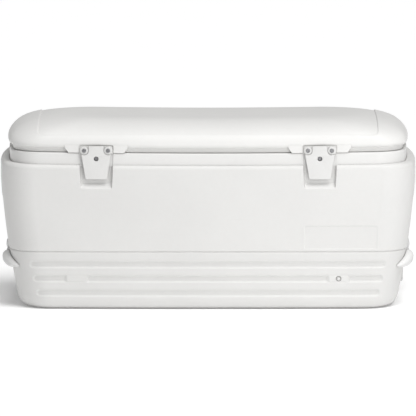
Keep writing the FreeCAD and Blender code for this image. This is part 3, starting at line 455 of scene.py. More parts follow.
def make_shell():
    """The outer shell: base, ledge, upper wall, shoulder and the shelf round the collar."""
    z = shell_rows()
    half_x = shell_half(z, FOOT_X, LEDGE_X, SHELL_X)
    half_y = shell_half(z, FOOT_Y, LEDGE_Y, SHELL_Y)
    groove = ledge_groove(z)
    plain_x = np.where(z < LEDGE_Z, FOOT_X + (LEDGE_X - FOOT_X) * z / LEDGE_Z, half_x)
    corner = SHELL_CORNER - np.where(z < 30, np.maximum(plain_x - half_x, 0), 0)
    corner = np.where(z > SHELL_TOP - SHOULDER, SHELL_CORNER - (SHELL_X - half_x), corner)
    # the shelf, then a small turned-down edge beside the collar
    shelf = [(SHELL_X - SHOULDER - 4.0, SHELL_Y - SHOULDER, SHELL_TOP),
             (RIM_X + 3.2, RIM_Y + 1.3, SHELL_TOP), (RIM_X + 1.4, RIM_Y + 1.0, SHELL_TOP),
             (RIM_X + 0.9, RIM_Y + 0.75, SHELL_TOP - 0.35), (RIM_X + 0.6, RIM_Y + 0.6, SHELL_TOP - 1.2),
             (RIM_X + 0.6, RIM_Y + 0.6, SHELL_TOP - 5.0)]
    shelf_x, shelf_y, shelf_z = (np.array(v) for v in zip(*shelf))
    z = np.concatenate([z, shelf_z])
    shelf_corner = COLLAR_CORNER + (shelf_x - RIM_X)
    plan = Plan(np.concatenate([half_x - groove, shelf_x]), np.concatenate([half_y - groove, shelf_y]),
                np.concatenate([corner - groove, shelf_corner]))
    front = stations(0.0, 382.0, 14.0, *POCKET_RUNS, (276.0, 340.0, 3.0), (299.6, 314.4, 0.8))
    back = stations(0.0, 382.0, 24.0)
    ends = stations(0.0, 131.0, 12.0, (0.0, 30.0, 5.0), (108.0, 131.0, 2.3))
    columns = ((ends, back, 30), (ends, back, 30), (ends, front, 62), (ends, front, 62))
    x, y, nx, ny = plan.ring(columns, pocket_warp(z))
    height = np.broadcast_to(z.reshape(-1, 1), x.shape)
    relief = flute_depth(x, y, height) + panel_depth(x, y, height) + port_depth(x, y, height)
    relief = np.where(height < 250, relief, 0)
    x, y = x - nx * relief, y - ny * relief
    turned_down = np.arange(len(z)) >= len(z) - 3
    y = carve_pockets(x, y, height, np.where(turned_down, POCKET_FACE - 1.6, POCKET_FACE).reshape(-1, 1))
    rows, cols = x.shape

    def row_at(value):
        """The row nearest a height."""
        return int(np.argmin(np.abs(z - value)))

    half_cols = len(ends) - 1
    skip = np.zeros((rows - 1, cols), bool)
    quarter_2 = cols_of_quarter(columns, 2)
    low, high = row_at(RECESS_MID - RECESS_CLEAR), row_at(RECESS_MID + RECESS_CLEAR)
    drain_low, drain_high = row_at(DRAIN_Z - DRAIN_CLEAR), row_at(DRAIN_Z + DRAIN_CLEAR)
    drain_cols = int(np.argmin(np.abs(ends - DRAIN_CLEAR)))
    for c in range(-half_cols, half_cols):
        skip[low:high, c % cols] = True
        skip[low:high, (quarter_2 + c) % cols] = True
    for c in range(-drain_cols, drain_cols):
        skip[drain_low:drain_high, c % cols] = True
    skin = Skin()
    grid = skin.sheet(x, y, height, skip=skip)
    handle_hole = RECESS_MID, RECESS_Y, RECESS_Z, RECESS_CORNER, RECESS_FACE, 2.5, 5.0
    for first_col, end in ((0, 1), (quarter_2, -1)):
        recess(skin, grid, (low, high), (first_col - half_cols, first_col + half_cols), end, *handle_hole)
    recess(skin, grid, (drain_low, drain_high), (-drain_cols, drain_cols), 1,
           DRAIN_Z, DRAIN_R, DRAIN_R, DRAIN_R, DRAIN_FACE, 2.0, 1.5)
    # the underside: a flat foot ring, then a shallow raised middle
    before = grid[0]
    for inset, rise in ((14.0, 0.0), (17.0, 1.2), (21.0, 3.0)):
        under = Plan([float(half_x[0]) - inset], [float(half_y[0]) - inset], [30.0])
        ux, uy, _, _ = under.ring(columns)
        ring = skin.add(np.stack([ux[0], uy[0], np.full(cols, rise)], axis=-1))
        skin.quads(np.stack([ring, before]))
        before = ring
    skin.cap(before[::-1])
    skin.points = points = [np.concatenate(skin.points)]
    points[0][:, 2] += body_sag(points[0][:, 0], points[0][:, 2])
    return skin.build("body_shell")


def cols_of_quarter(columns, count):
    """How many columns come before a quadrant's middle line."""
    return sum(len(ends) + len(sides) + corner_count - 1
               for ends, sides, corner_count in columns[:count])


# ---------------------------------------------------------------- the liner: collar, rim and bay


def make_liner():
    """The raised collar, the flat rim and the bay that holds the ice."""
    turns = np.radians(np.arange(0, 91, 18.0))
    rim_round, mouth_round, floor_round, bay_corner = 2.5, 5.0, 22.0, 50.0
    bay_x, bay_y, floor_x, floor_y, floor_z = 444.0, 190.0, 434.0, 182.0, 36.0
    profile = [(0.0, z) for z in stations(LINER_FOOT, RIM_TOP - rim_round, 4.0)]
    profile += [(rim_round * (1 - math.cos(t)), RIM_TOP - rim_round + rim_round * math.sin(t))
                for t in turns[1:]]
    rows = [(RIM_X - inset, RIM_Y - inset, COLLAR_CORNER - inset, END_BOW, z) for inset, z in profile]
    for share in (0.35, 0.8):
        rows.append((lerp(RIM_X - rim_round, bay_x + mouth_round, share),
                     lerp(RIM_Y - rim_round, bay_y + mouth_round, share),
                     lerp(COLLAR_CORNER - rim_round, bay_corner + mouth_round, share), END_BOW, RIM_TOP))
    for t in turns:
        wider = mouth_round * (1 - math.sin(t))
        rows.append((bay_x + wider, bay_y + wider, bay_corner + wider, BAY_BOW,
                     RIM_TOP - mouth_round * (1 - math.cos(t))))
    for z in np.linspace(RIM_TOP - 12, floor_z + floor_round, 12):
        share = (z - floor_z) / (RIM_TOP - floor_z)
        rows.append((lerp(floor_x, bay_x, share), lerp(floor_y, bay_y, share), bay_corner, BAY_BOW, z))
    for t in np.radians(np.arange(15, 91, 15.0)):
        inset = floor_round * (1 - math.cos(t))
        rows.append((floor_x + 0.5 - inset, floor_y + 0.4 - inset, bay_corner - inset, BAY_BOW,
                     floor_z + floor_round * (1 - math.sin(t))))
    half_x, half_y, corner, bow, z = (np.array(v) for v in zip(*rows))
    plan = Plan(half_x, half_y, corner, bow)
    side = stations(0.0, 376.0, 16.0, *POCKET_RUNS)
    back = stations(0.0, 376.0, 24.0)
    ends = stations(0.0, 118.0, 14.0)
    columns = ((ends, back, 30), (ends, back, 30), (ends, side, 30), (ends, side, 30))
    x, y, _, _ = plan.ring(columns, pocket_warp(np.maximum(z, LINER_FOOT)))
    height = np.broadcast_to(z.reshape(-1, 1), x.shape).copy()
    outer = len(profile)
    y[:outer] = carve_pockets(x[:outer], y[:outer], height[:outer], POCKET_FACE + 0.3)
    height = height + body_sag(x, height)
    skin = Skin()
    grid = skin.sheet(x, y, height)
    skin.cap(grid[-1])
    return skin.build("inner_liner_skin")


# ---------------------------------------------------------------- the lid


def crown_distance(x, y, turn):
    """Signed distance from a plan point to the crown's outline at a turn of its ellipse."""
    shrink = 1 - np.cos(turn)
    half_x = LIP_X - 145.0 * shrink
    half_y = LIP_Y - 110.0 * shrink
    corner = LID_CORNER + 30.0 * np.sin(turn)
    plan = Plan(half_x.ravel(), half_y.ravel(), corner.ravel())
    px, py = np.abs(x).reshape(-1, 1), np.abs(y).reshape(-1, 1)
    turned = np.arctan2(py - plan.cy, px - plan.cx)
    corner_d = np.hypot(px - plan.cx, py - plan.cy) - plan.r
    end_d = np.hypot(px - plan.end_c, py) - plan.end_r
    side_d = np.hypot(px, py - plan.side_c) - plan.side_r
    by_end = (turned < plan.t1) & (px > plan.cx)
    by_side = (turned > plan.t2) & (py > plan.cy)
    inner = np.maximum(end_d, side_d)
    distance = np.where((px > plan.cx) & (py > plan.cy) & ~by_end & ~by_side, corner_d, inner)
    return distance.reshape(x.shape)


def crown_height(x, y):
    """The crown's height above a plan point, before the panel is sunk."""
    low, high = np.zeros_like(x), np.full_like(x, math.pi / 2)
    for _ in range(30):
        middle = (low + high) / 2
        inside = crown_distance(x, y, middle) < 0
        low, high = np.where(inside, middle, low), np.where(inside, high, middle)
    top = LID_HIGH.z + PANEL_SINK
    return LIP_Z + (top - LIP_Z) * np.sin((low + high) / 2)


def lid_sag(x, z):
    """As the body's sag, with the crown's middle a little lower still."""
    crown = smooth_step(LIP_Z, LID_HIGH.z, z) * np.clip(1 - (x / 330.0) ** 2, 0, 1) ** 2
    return hang_of(x) - 1.6 * crown


def hinge_pad(x, pad):
    """1 within the width of a hinge pad, 0 beside it."""
    return smooth_step(-0.7, 0.7, HINGE_PAD_HALF - np.abs(x - pad))


def make_lid():
    """The lid: skirt, finger recess, lip, domed crown and its sunk panel."""
    open_rows = [(13.0, 376.5), (13.0, LID_FOOT + 0.4), (12.6, LID_FOOT), (12.0, LID_FOOT + 0.1),
                 (10.2, LID_FOOT + 1.3), (10.0, 376.5), (10.0, 380.0), (9.9, 382.8),
                 (9.5, 384.3), (8.6, CEILING), (7.0, CEILING)]
    open_rows += [(7.0 * (1 - math.sin(t)), LIP_Z - 1 - 7.0 * math.cos(t))
                  for t in np.radians((15, 30, 45, 60, 75, 90))]
    tab_z = [376.5, LID_FOOT + 0.4, LID_FOOT, LID_FOOT, LID_FOOT + 0.6, 377.0, 380.5, 383.5, 386.0,
             387.8, 389.2, 390.2, 391.0, 391.7, 392.2, 392.6, 393.0]
    tab_inset = [13.0, 13.0, 12.6, 1.2, TAB_INSET] + [TAB_INSET] * 9 + [0.4, 0.2, 0.1]
    open_in, open_z = (np.array(v).reshape(-1, 1) for v in zip(*open_rows))
    tab_in, tab_z = np.array(tab_inset).reshape(-1, 1), np.array(tab_z).reshape(-1, 1)
    runs = edge_runs(LATCH_X, NICHE_HALF, (1.6, 0.55), (7, 2.0))
    runs += edge_runs(LATCH_X, TAB_HALF, (1.6, 0.8), (5, 2.0))
    for pad in HINGES[1:]:
        runs += edge_runs(pad, HINGE_PAD_HALF, (1.2, 0.8))
    side = stations(0.0, 380.0, 16.0, *runs)
    ends = stations(0.0, 132.0, 14.0)
    columns = ((ends, side, 26),) * 4

    # where each column crosses the tabs and the hinge pads sets its inset and its height
    lean = TAB_LEAN * (np.clip(open_z, LID_FOOT, CEILING) - TAB_MID)
    base = Plan(np.full(len(open_in), LIP_X), LIP_Y, LID_CORNER)
    x, y, nx, ny = base.ring(columns, lambda sides, _: spread(sides, TAB_HALF, 16.0, lean))
    tab = smooth_step(-0.9, 0.9, TAB_HALF + lean - np.abs(np.abs(x) - LATCH_X)) * (y < 0)
    for pad in HINGES:
        tab = np.maximum(tab, hinge_pad(x, pad) * (y > 100))
    inset, z = lerp(open_in, tab_in, tab), lerp(open_z, tab_z, tab)
    x, y = x - nx * inset, y - ny * inset

    def panel_ring(offset):
        """Plan points of the sunk panel's edge, moved outwards by an offset."""
        plan = Plan([PANEL_X + offset], [PANEL_Y + offset], [PANEL_CORNER + offset], [0.4], [0.4])
        return plan.ring(columns)[:2, 0]

    # the crown from the lip inwards to the sunk panel's edge
    lip = Plan([LIP_X], [LIP_Y], [LID_CORNER]).ring(columns)[:2, 0]
    outer_edge = panel_ring(2.5)
    outer_edge[0] = np.where(np.abs(outer_edge[0]) > LIP_X - 4, lip[0], outer_edge[0])
    shares = np.array([0.012, 0.05, 0.11, 0.19, 0.29, 0.42, 0.58, 0.77, 1.0]) ** 1.25
    crown = [lerp(lip, outer_edge, s) for s in shares]
    step = [panel_ring(offset) for offset in (1.9, 1.1, 0.2, -0.7, -1.6, -2.6)]
    inner = panel_ring(-5)
    centre = np.stack([np.clip(inner[0] * 194.0 / (PANEL_X - 5), -194, 194), np.zeros_like(inner[1])])
    fill = [lerp(inner, centre, s)
            for s in (0, 0.03, 0.07, 0.12, 0.18, 0.25, 0.33, 0.42, 0.52, 0.64, 0.77, 0.89, 1.0)]
    flat = np.stack(crown + step + fill)
    cx, cy = flat[:, 0], flat[:, 1]
    cz = crown_height(cx, cy)
    away = box_distance(cx, cy, PANEL_X, PANEL_Y, PANEL_CORNER)
    cz = cz - PANEL_SINK * (1 - smooth_step(-1.7, 1.3, away)) - 0.6 * np.exp(-((away + 0.4) / 1.1) ** 2)
    x, y, z = np.concatenate([x, cx]), np.concatenate([y, cy]), np.concatenate([z, cz])

    # latch niches in the tabs
    for latch in LATCHES:
        away = box_distance(x - latch, z - (NICHE_TOP - NICHE_HALF_Z), NICHE_HALF, NICHE_HALF_Z, 6.0)
        sunk = np.maximum(y, -NICHE_FACE)
        share = 1 - smooth_step(-0.55, 0.55, away)
        y = np.where((y < -150) & (z < NICHE_TOP + 3), lerp(y, sunk, share), y)
    # hinge pads behind: flat faces that carry the leaves, hollowed round the barrels
    for pad in HINGES:
        share = hinge_pad(x, pad) * smooth_step(405.5, 403.5, z)
        flush = np.where((y > 195) & (z > LID_FOOT + 0.1), lerp(y, LIP_Y, share), y)
        near = np.abs(z - RIM_TOP) < BARREL_CLEAR
        hollow = BARREL_Y - np.sqrt(np.maximum(BARREL_CLEAR ** 2 - (z - RIM_TOP) ** 2, 0))
        y = np.where((share > 0.5) & near & (y > 195), np.minimum(flush, hollow), flush)
    z = z + lid_sag(x, z)
    skin = Skin()
    skin.sheet(x, y, z)
    return skin.build("lid_skin", weld=0.01)


def make_lid_foam():
    """The foam core between the lid's skins, which follows the crown."""
    inset, under_crown, low_z = 24.0, 4.5, 386.0
    share = np.array([0.0, 0.15, 0.3, 0.45, 0.6, 0.72, 0.82, 0.9, 0.96, 1.0])
    columns = ((stations(0, 120, 20), stations(0, 360, 24), 10),) * 4
    x, y = Plan([LIP_X - inset], [LIP_Y - inset], [LID_CORNER - inset]).ring(columns)[:2, 0]
    out_x, out_y = np.outer(share, x), np.outer(share, y)
    top = crown_height(out_x, out_y) - PANEL_SINK - under_crown
    top = np.maximum(top + lid_sag(out_x, top), low_z + 3.0)
    low = np.full_like(top, low_z)
    skin = Skin()
    skin.sheet(np.concatenate([out_x, out_x[::-1]]), np.concatenate([out_y, out_y[::-1]]),
               np.concatenate([top, low]))
    return skin.build("lid_foam_core")


# ---------------------------------------------------------------- handles


def walk_end(plan, distances):
    """Normal turns at which an outline stands at given distances from the middle of an end."""
    low, high = np.zeros_like(distances), np.full_like(distances, math.pi / 2)
    for _ in range(40):
        middle = (low + high) / 2
        _, y, _, _ = plan.at(middle.reshape(1, -1))
        short = y[0] < distances
        low, high = np.where(short, middle, low), np.where(short, high, middle)
    return (low + high) / 2


def make_handle(name, end):
    """A bail handle: a grip in the recess, ears that hug the corners, and two arms.

    Its stations follow the base wall's outline at grip height. Reach is a station's distance
    from the middle of the end, nose is its place along the tapering ear and hug is its share
    of the change from grip to ear.
    """
    mid_z, wall_x, wall_y, wall_lean = 111.0, 470.6, 213.0, math.tan(math.radians(10.3))
    ear, tip, tip_thick, tip_drop, tip_lift = 128.0, 181.0, 2.5, 29.0, 5.0
    grip_x, ear_x, grip_behind, ear_gap = 478.0, 484.6, -7.4, 0.9
    grip_top, ear_top, grip_low, ear_low = 129.5, 133.4, 101.0, 94.6
    travel = np.concatenate([np.linspace(-1, -0.6, 40), np.linspace(-0.58, 0.58, 41),
                             np.linspace(0.6, 1, 40)])
    reach = np.abs(travel) * tip
    plan = Plan([wall_x], [wall_y], [SHELL_CORNER])
    px, py, nx, ny = (v[0] for v in plan.at(walk_end(plan, reach).reshape(1, -1)))
    py, ny = py * np.sign(travel), ny * np.sign(travel)
    nose = np.clip((reach - ear) / (tip - ear), 0, 1)
    hug = smooth_step(108, 119, reach)
    inner = lerp(grip_behind, ear_gap, hug)
    thick = (lerp(grip_x, ear_x, smooth_step(60, 124, reach)) - px) / np.maximum(nx, 0.8) - inner
    thick = lerp(thick, tip_thick, nose ** 1.25)
    top = lerp(grip_top, ear_top, smooth_step(90, 124, reach)) - tip_drop * nose ** 1.15
    low = lerp(grip_low, ear_low, smooth_step(109, 120, reach)) + tip_lift * nose ** 2
    rounding = np.sqrt(np.clip(1 - (np.clip(nose - 0.9, 0, 1) / 0.1) ** 2, 0.01, 1))
    # each section: a bulging outer face through the first angles, a flat back through the rest
    angle = np.radians(np.concatenate([np.linspace(-90, 90, 19), np.linspace(100, 260, 9)]))
    rise, run = np.sin(angle).reshape(1, -1), np.cos(angle).reshape(1, -1)
    middle, half, depth, back_round, power, hug = (v.reshape(-1, 1) for v in (
        (top + low) / 2, (top - low) / 2 * rounding, thick * rounding, lerp(2.5, 0.5, hug),
        lerp(0.62, 0.9, hug), hug))
    up = middle + half * np.sign(rise) * np.abs(rise) ** 0.9
    bulge = np.where(run > 0, np.abs(run) ** power, 0.0) * depth
    back = np.where(run < 0, np.abs(run) ** 0.5, 0.0) * back_round
    away = inner.reshape(-1, 1) + back_round + (up - mid_z) * wall_lean * hug + bulge - back
    x = end * (px.reshape(-1, 1) + nx.reshape(-1, 1) * away)
    y = py.reshape(-1, 1) + ny.reshape(-1, 1) * away
    skin = Skin()
    skin.tube(np.stack([x, y, up], axis=-1))
    for side in (-1, 1):
        arm(skin, end, side * ARM_Y)
    return skin.build(name, sharp=50.0)


def arm(skin, end, mid_y):
    """A flat bar from behind the grip up to a round eye on its pivot."""
    pivot_x, pivot_z, half_wide, eye = 466.0, 231.0, 8.0, 7.0
    outer, inner, foot_z = 5.5, -4.5, 120.0 - pivot_z
    outline = [(outer, foot_z), (outer, foot_z * 0.5)]
    outline += [(math.cos(t) * eye, math.sin(t) * eye) for t in np.radians(np.arange(-20, 201, 15))]
    outline += [(inner, foot_z * 0.5), (inner, foot_z)]
    outline = np.array(outline)
    rings = []
    for level, shrink in ((-1.0, 1.3), (-0.96, 0.5), (-0.86, 0.0), (0.86, 0.0), (0.96, 0.5), (1.0, 1.3)):
        u = outline[:, 0] - np.sign(outline[:, 0]) * np.minimum(shrink, np.abs(outline[:, 0]))
        v = np.where(outline[:, 1] > 0, outline[:, 1] * (1 - shrink / eye), outline[:, 1])
        rings.append(np.stack([end * (pivot_x + u), np.full(len(u), mid_y + level * half_wide),
                               pivot_z + v], axis=-1))
    skin.tube(rings)


# ---------------------------------------------------------------- latches


def plate(name, outline, holes, back, front, edge):
    """A flat moulding facing the front: an outline with holes, thickness and rounded edges."""
    curve = bpy.data.curves.new(name, "CURVE")
    curve.dimensions, curve.fill_mode = "2D", "BOTH"
    depth = (front - back) / 2
    curve.extrude, curve.bevel_depth, curve.bevel_resolution = (depth - edge) * MM, edge * MM, 3
    curve.offset = -edge * MM
    for loop in [outline] + holes:
        spline = curve.splines.new("POLY")
        spline.points.add(len(loop) - 1)
        for point, (u, v) in zip(spline.points, loop):
            point.co = (u * MM, v * MM, 0, 1)
        spline.use_cyclic_u = True
    holder = bpy.data.objects.new(name + "_curve", curve)
    bpy.context.scene.collection.objects.link(holder)
    filled = holder.evaluated_get(bpy.context.evaluated_depsgraph_get())
    mesh = bpy.data.meshes.new_from_object(filled)
    bpy.data.objects.remove(holder)
    points = np.zeros(len(mesh.vertices) * 3)
    mesh.vertices.foreach_get("co", points)
    points = points.reshape(-1, 3)
    points = np.stack([points[:, 0], -(back + depth) * MM - points[:, 2], points[:, 1]], axis=-1)
    mesh.vertices.foreach_set("co", points.ravel())
    return settle(mesh, name, 0.005, 35.0)


def arc(mid_u, mid_v, radius, start, stop, step=7.5):
    """Points of an arc, by its angles in degrees."""
    count = max(2, round(abs(stop - start) / step))
    return [(mid_u + radius * math.cos(t), mid_v + radius * math.sin(t))
            for t in np.radians(np.linspace(start, stop, count + 1))]


BOSS_U, BOSS_Z, FLAP_FOOT, FLAP_TOP, EYE_Z = 28.0, 379.5, 312.0, 390.1, 360.0


def make_flap(name, x):
    """The pull-down flap: tapered, notched round the two screw bosses, with a round eye."""
    half, foot_half, tongue, shoulder = 34.6, 25.3, 17.5, BOSS_Z - 9.6
    foot_round, top_round, notch, eye_radius = 4.0, 3.0, 10.4, 5.6
    outline = arc(x - foot_half + foot_round, FLAP_FOOT + foot_round, foot_round, 190, 270)
    outline += arc(x + foot_half - foot_round, FLAP_FOOT + foot_round, foot_round, 270, 350)
    outline += [(x + half, shoulder)]
    outline += arc(x + BOSS_U, BOSS_Z, notch, -60, -180)
    outline += arc(x + tongue - top_round, FLAP_TOP - top_round, top_round, 0, 90)
    outline += arc(x - tongue + top_round, FLAP_TOP - top_round, top_round, 90, 180)
    outline += arc(x - BOSS_U, BOSS_Z, notch, 0, -120)
    outline += [(x - half, shoulder)]
    eye = arc(x, EYE_Z, eye_radius, 0, 352, 8.0)[:-1]
    return plate(name, outline, [eye], 217.6, 221.4, 0.7)


def make_latch_base(name, x):
    """The screwed base: a thin bar with two round bosses."""
    half, foot, top, corner, boss_radius = 38.5, 371.5, 389.5, 5.0, 9.3
    bar = [(x - half, foot), (x + half, foot)]
    bar += arc(x + half - corner, top - corner, corner, 0, 90)
    bar += arc(x - half + corner, top - corner, corner, 90, 180)
    base = plate(name, bar, [], 211.6, 214.6, 0.5)
    for side in (-1, 1):
        ring = arc(x + side * BOSS_U, BOSS_Z, boss_radius, 0, 354, 6.0)[:-1]
        merge(base, plate(name + "_boss", ring, [], 212.0, 221.4, 0.8))
    return base


def merge(piece, other):
    """Put another piece's mesh into this one."""
    work = bmesh.new()
    work.from_mesh(piece.data)
    work.from_mesh(other.data)
    work.to_mesh(piece.data)
    work.free()
    bpy.data.objects.remove(other)


def make_port_plug(name):
    """The domed plug in the foam port: rings of (radius, depth behind the port's face)."""
    profile = ((0.01, -1.6), (2.2, -1.4), (3.9, -0.7), (5.0, 0.5), (5.2, 2.0), (5.2, 6.0), (0.01, 6.0))
    angle = np.linspace(0, 2 * math.pi, 48, endpoint=False)
    skin = Skin()
    skin.tube([np.stack([PORT_X - radius * np.cos(angle), np.full(len(angle), PORT_FACE + depth),
                         PORT_Z + radius * np.sin(angle)], axis=-1) for radius, depth in profile])
    return skin.build(name, 0.002, 35.0)


# ---------------------------------------------------------------- materials


def shader(name):
    """A new material, with its node tree and its principled shader."""
    material = bpy.data.materials.new(name)
    material.use_nodes = True
    tree = material.node_tree
    return material, tree, tree.nodes["Principled BSDF"]


def feed(tree, value, socket):
    """Give an input its value: another node's output, a colour or a number."""
    if isinstance(value, bpy.types.NodeSocket):
        tree.links.new(value, socket)
    else:
        socket.default_value = (*value, 1) if isinstance(value, tuple) else value


def add_node(tree, kind, **settings):
    """A new node; a setting is one of its inputs or one of its properties."""
    node = tree.nodes.new(kind)
    for key, value in settings.items():
        if key in node.inputs:
            feed(tree, value, node.inputs[key])
        else:
            setattr(node, key, value)
    return node


def noise(tree, place, scale, detail, rough=0.5):
    """A 0..1 noise that stays with the piece."""
    node = add_node(tree, "ShaderNodeTexNoise", Vector=place, Scale=scale, Detail=detail, Roughness=rough)
    return node.outputs["Fac"]


def mapped(tree, span, low, high, source):
    """A span of the source's values spread from low to high."""
    node = add_node(tree, "ShaderNodeMapRange", Value=source)
    node.inputs["From Min"].default_value, node.inputs["From Max"].default_value = span
    node.inputs["To Min"].default_value, node.inputs["To Max"].default_value = low, high
    return node.outputs["Result"]


def mixed(tree, factor, first, second, blend_type="MIX"):
    """Two colours mixed by a factor."""
    node = add_node(tree, "ShaderNodeMix", data_type="RGBA", blend_type=blend_type,
                    Factor=factor, A=first, B=second)
    return node.outputs["Result"]


def worked(tree, operation, first, second):
    """Two numbers added or multiplied."""
    node = add_node(tree, "ShaderNodeMath", operation=operation)
    feed(tree, first, node.inputs[0])
    feed(tree, second, node.inputs[1])
    return node.outputs[0]


def bumped(tree, height, strength, distance):
    """A bump node that turns a height into a normal."""
    return add_node(tree, "ShaderNodeBump", Height=height, Strength=strength, Distance=distance)


def object_place(tree):
    """Texture coordinates that stay with the piece."""
    return add_node(tree, "ShaderNodeTexCoord").outputs["Object"]


def moulded(name, colour, rough=0.42, grain=0.00006, scuff=0.03, tint=0.03, crease_shade_strength=0.10):
    """Moulded plastic: faint tone drift, orange-peel grain, fine rubs and painted shade darkening the
    creases.
    """
    material, tree, bsdf = shader(name)
    place = object_place(tree)
    drift, mottle = noise(tree, place, 5.0, 3.0, 0.55), noise(tree, place, 90.0, 4.0, 0.6)
    peel, wave = noise(tree, place, 650.0, 2.0), noise(tree, place, 38.0, 2.0, 0.4)
    stretch = add_node(tree, "ShaderNodeMapping", Vector=place)
    stretch.inputs["Scale"].default_value = (14.0, 60.0, 190.0)
    stretch.inputs["Rotation"].default_value = (0.3, 0.2, 0.15)
    rubs = mapped(tree, (0.60, 0.74), 0.0, 1.0, noise(tree, stretch.outputs["Vector"], 1.0, 5.0, 0.65))

    blend = worked(tree, "ADD", mapped(tree, (0.3, 0.7), 0.0, 0.7, drift),
                   mapped(tree, (0.3, 0.7), 0.0, 0.3, mottle))
    tone = mixed(tree, blend, tuple(c * (1 - tint) for c in colour),
                 tuple(min(c * (1 + tint * 0.6), 1) for c in colour))
    worn = mixed(tree, worked(tree, "MULTIPLY", rubs, scuff * 6), tone, (0.90, 0.90, 0.89), "MULTIPLY")
    # painted shade: the base colour darkens towards grey where ambient occlusion finds creases and recesses
    crease = add_node(tree, "ShaderNodeAmbientOcclusion", samples=6, Distance=0.006).outputs["AO"]
    painted_crease_shade = mapped(tree, (0.25, 0.95), crease_shade_strength * 2.2, 0.0, crease)
    feed(tree, mixed(tree, painted_crease_shade, worn, (0.60, 0.59, 0.57), "MULTIPLY"), bsdf.inputs["Base Color"])

    polish = worked(tree, "ADD", mapped(tree, (0.3, 0.7), rough - 0.05, rough + 0.05, wave),
                    mapped(tree, (0.0, 1.0), 0.0, 0.12, rubs))
    feed(tree, polish, bsdf.inputs["Roughness"])
    broad = bumped(tree, wave, 0.5, 0.00012)
    feed(tree, bumped(tree, peel, 0.55, grain).outputs["Normal"], broad.inputs["Normal"])
    feed(tree, broad.outputs["Normal"], bsdf.inputs["Normal"])
    bsdf.inputs["IOR"].default_value = 1.5
    bsdf.inputs["Specular IOR Level"].default_value = 0.25
    return material


def brushed(name, colour, rough=0.35):
    """Plain machine-screw steel with a fine turned grain and dull spots."""
    material, tree, bsdf = shader(name)
    place = object_place(tree)
    spots, grain = noise(tree, place, 420.0, 5.0, 0.6), noise(tree, place, 2600.0, 2.0)
    tone = mixed(tree, mapped(tree, (0.35, 0.62), 0.0, 1.0, spots), tuple(c * 0.62 for c in colour), colour)
    feed(tree, tone, bsdf.inputs["Base Color"])
    feed(tree, mapped(tree, (0.3, 0.7), rough - 0.1, rough + 0.15, spots), bsdf.inputs["Roughness"])
    feed(tree, bumped(tree, grain, 0.4, 0.00003).outputs["Normal"], bsdf.inputs["Normal"])
    bsdf.inputs["Metallic"].default_value = 1.0
    return material


def cellular(name, light, dark, scale, depth, rough):
    """Foam or rubber: a cellular or pebbled surface."""
    material, tree, bsdf = shader(name)
    place = object_place(tree)
    cells = add_node(tree, "ShaderNodeTexVoronoi", Vector=place, Scale=scale).outputs["Distance"]
    cloud = noise(tree, place, scale * 0.12, 4.0)
    feed(tree, mixed(tree, mapped(tree, (0.3, 0.7), 0.0, 1.0, cloud), light, dark), bsdf.inputs["Base Color"])
    feed(tree, mapped(tree, (0.0, 1.0), rough - 0.06, rough + 0.06, cloud), bsdf.inputs["Roughness"])
    feed(tree, bumped(tree, cells, 0.6, depth).outputs["Normal"], bsdf.inputs["Normal"])
    return material


MATERIALS = {
    "shell_plastic": moulded("shell_plastic", (0.665, 0.661, 0.650), rough=0.46),
    "liner_plastic": moulded("liner_plastic", (0.705, 0.702, 0.691), rough=0.36, grain=0.00003),
    # painted light: the lid's white is a lighter copy of the shell's same plastic, so that the lid's top
    # reads brighter
    "lid_plastic": moulded("lid_plastic", (0.725, 0.721, 0.708), rough=0.44),
    "latch_plastic": moulded("latch_plastic", (0.665, 0.662, 0.652), rough=0.34, grain=0.00004),
    "handle_plastic": moulded("handle_plastic", (0.690, 0.688, 0.682), rough=0.42, scuff=0.06),
    "drain_plastic": moulded("drain_plastic", (0.700, 0.700, 0.694), rough=0.32, grain=0.00003),
    "steel": brushed("steel", (0.34, 0.34, 0.35)),
    "gasket_rubber": cellular("gasket_rubber", (0.020, 0.020, 0.021), (0.045, 0.045, 0.047),
                              900.0, 0.00008, 0.75),
    "foam": cellular("foam", (0.80, 0.72, 0.50), (0.70, 0.60, 0.38), 500.0, 0.0002, 0.85),
}


def dress(piece, material):
    """Give a piece one material."""
    piece.data.materials.clear()
    piece.data.materials.append(material)


def place(piece, body, slot, *nodes):
    """Dress a piece, let it ride and let it stand for its CAD nodes."""
    dress(piece, MATERIALS[slot])
    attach(piece, body)
    if nodes:
        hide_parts(*nodes)


SLOTS = {row["node"]: row["material_slot"] for row in frame["record"]["subparts"]}
for label, node_object in frame["nodes"].items():
    if label in SLOTS:
        for index in range(max(1, len(node_object.material_slots))):
            if len(node_object.data.materials) <= index:
                node_object.data.materials.append(MATERIALS[SLOTS[label]])
            else:
                node_object.data.materials[index] = MATERIALS[SLOTS[label]]

place(make_shell(), "chest", "shell_plastic", "outer_shell")
place(make_liner(), "chest", "liner_plastic", "inner_liner")
place(make_lid(), "lid", "lid_plastic", "lid_shell")
place(make_lid_foam(), "lid", "foam", "lid_foam")
for label, x in zip(("left", "right"), LATCHES):
    place(make_flap(f"flap_{label}_plate", x), f"flap_{label}", "latch_plastic", f"latch_flap_{label}")
    place(make_latch_base(f"latch_{label}_base", x), "lid", "latch_plastic", f"latch_base_{label}")
place(make_port_plug("foam_port_dome"), "chest", "shell_plastic", "foam_port_plug")
place(make_handle("left_handle_bail", -1), "handle_left", "handle_plastic", "handle_left")
place(make_handle("right_handle_bail", 1), "handle_right", "handle_plastic", "handle_right")

# ---------------------------------------------------------------- floor, light, camera


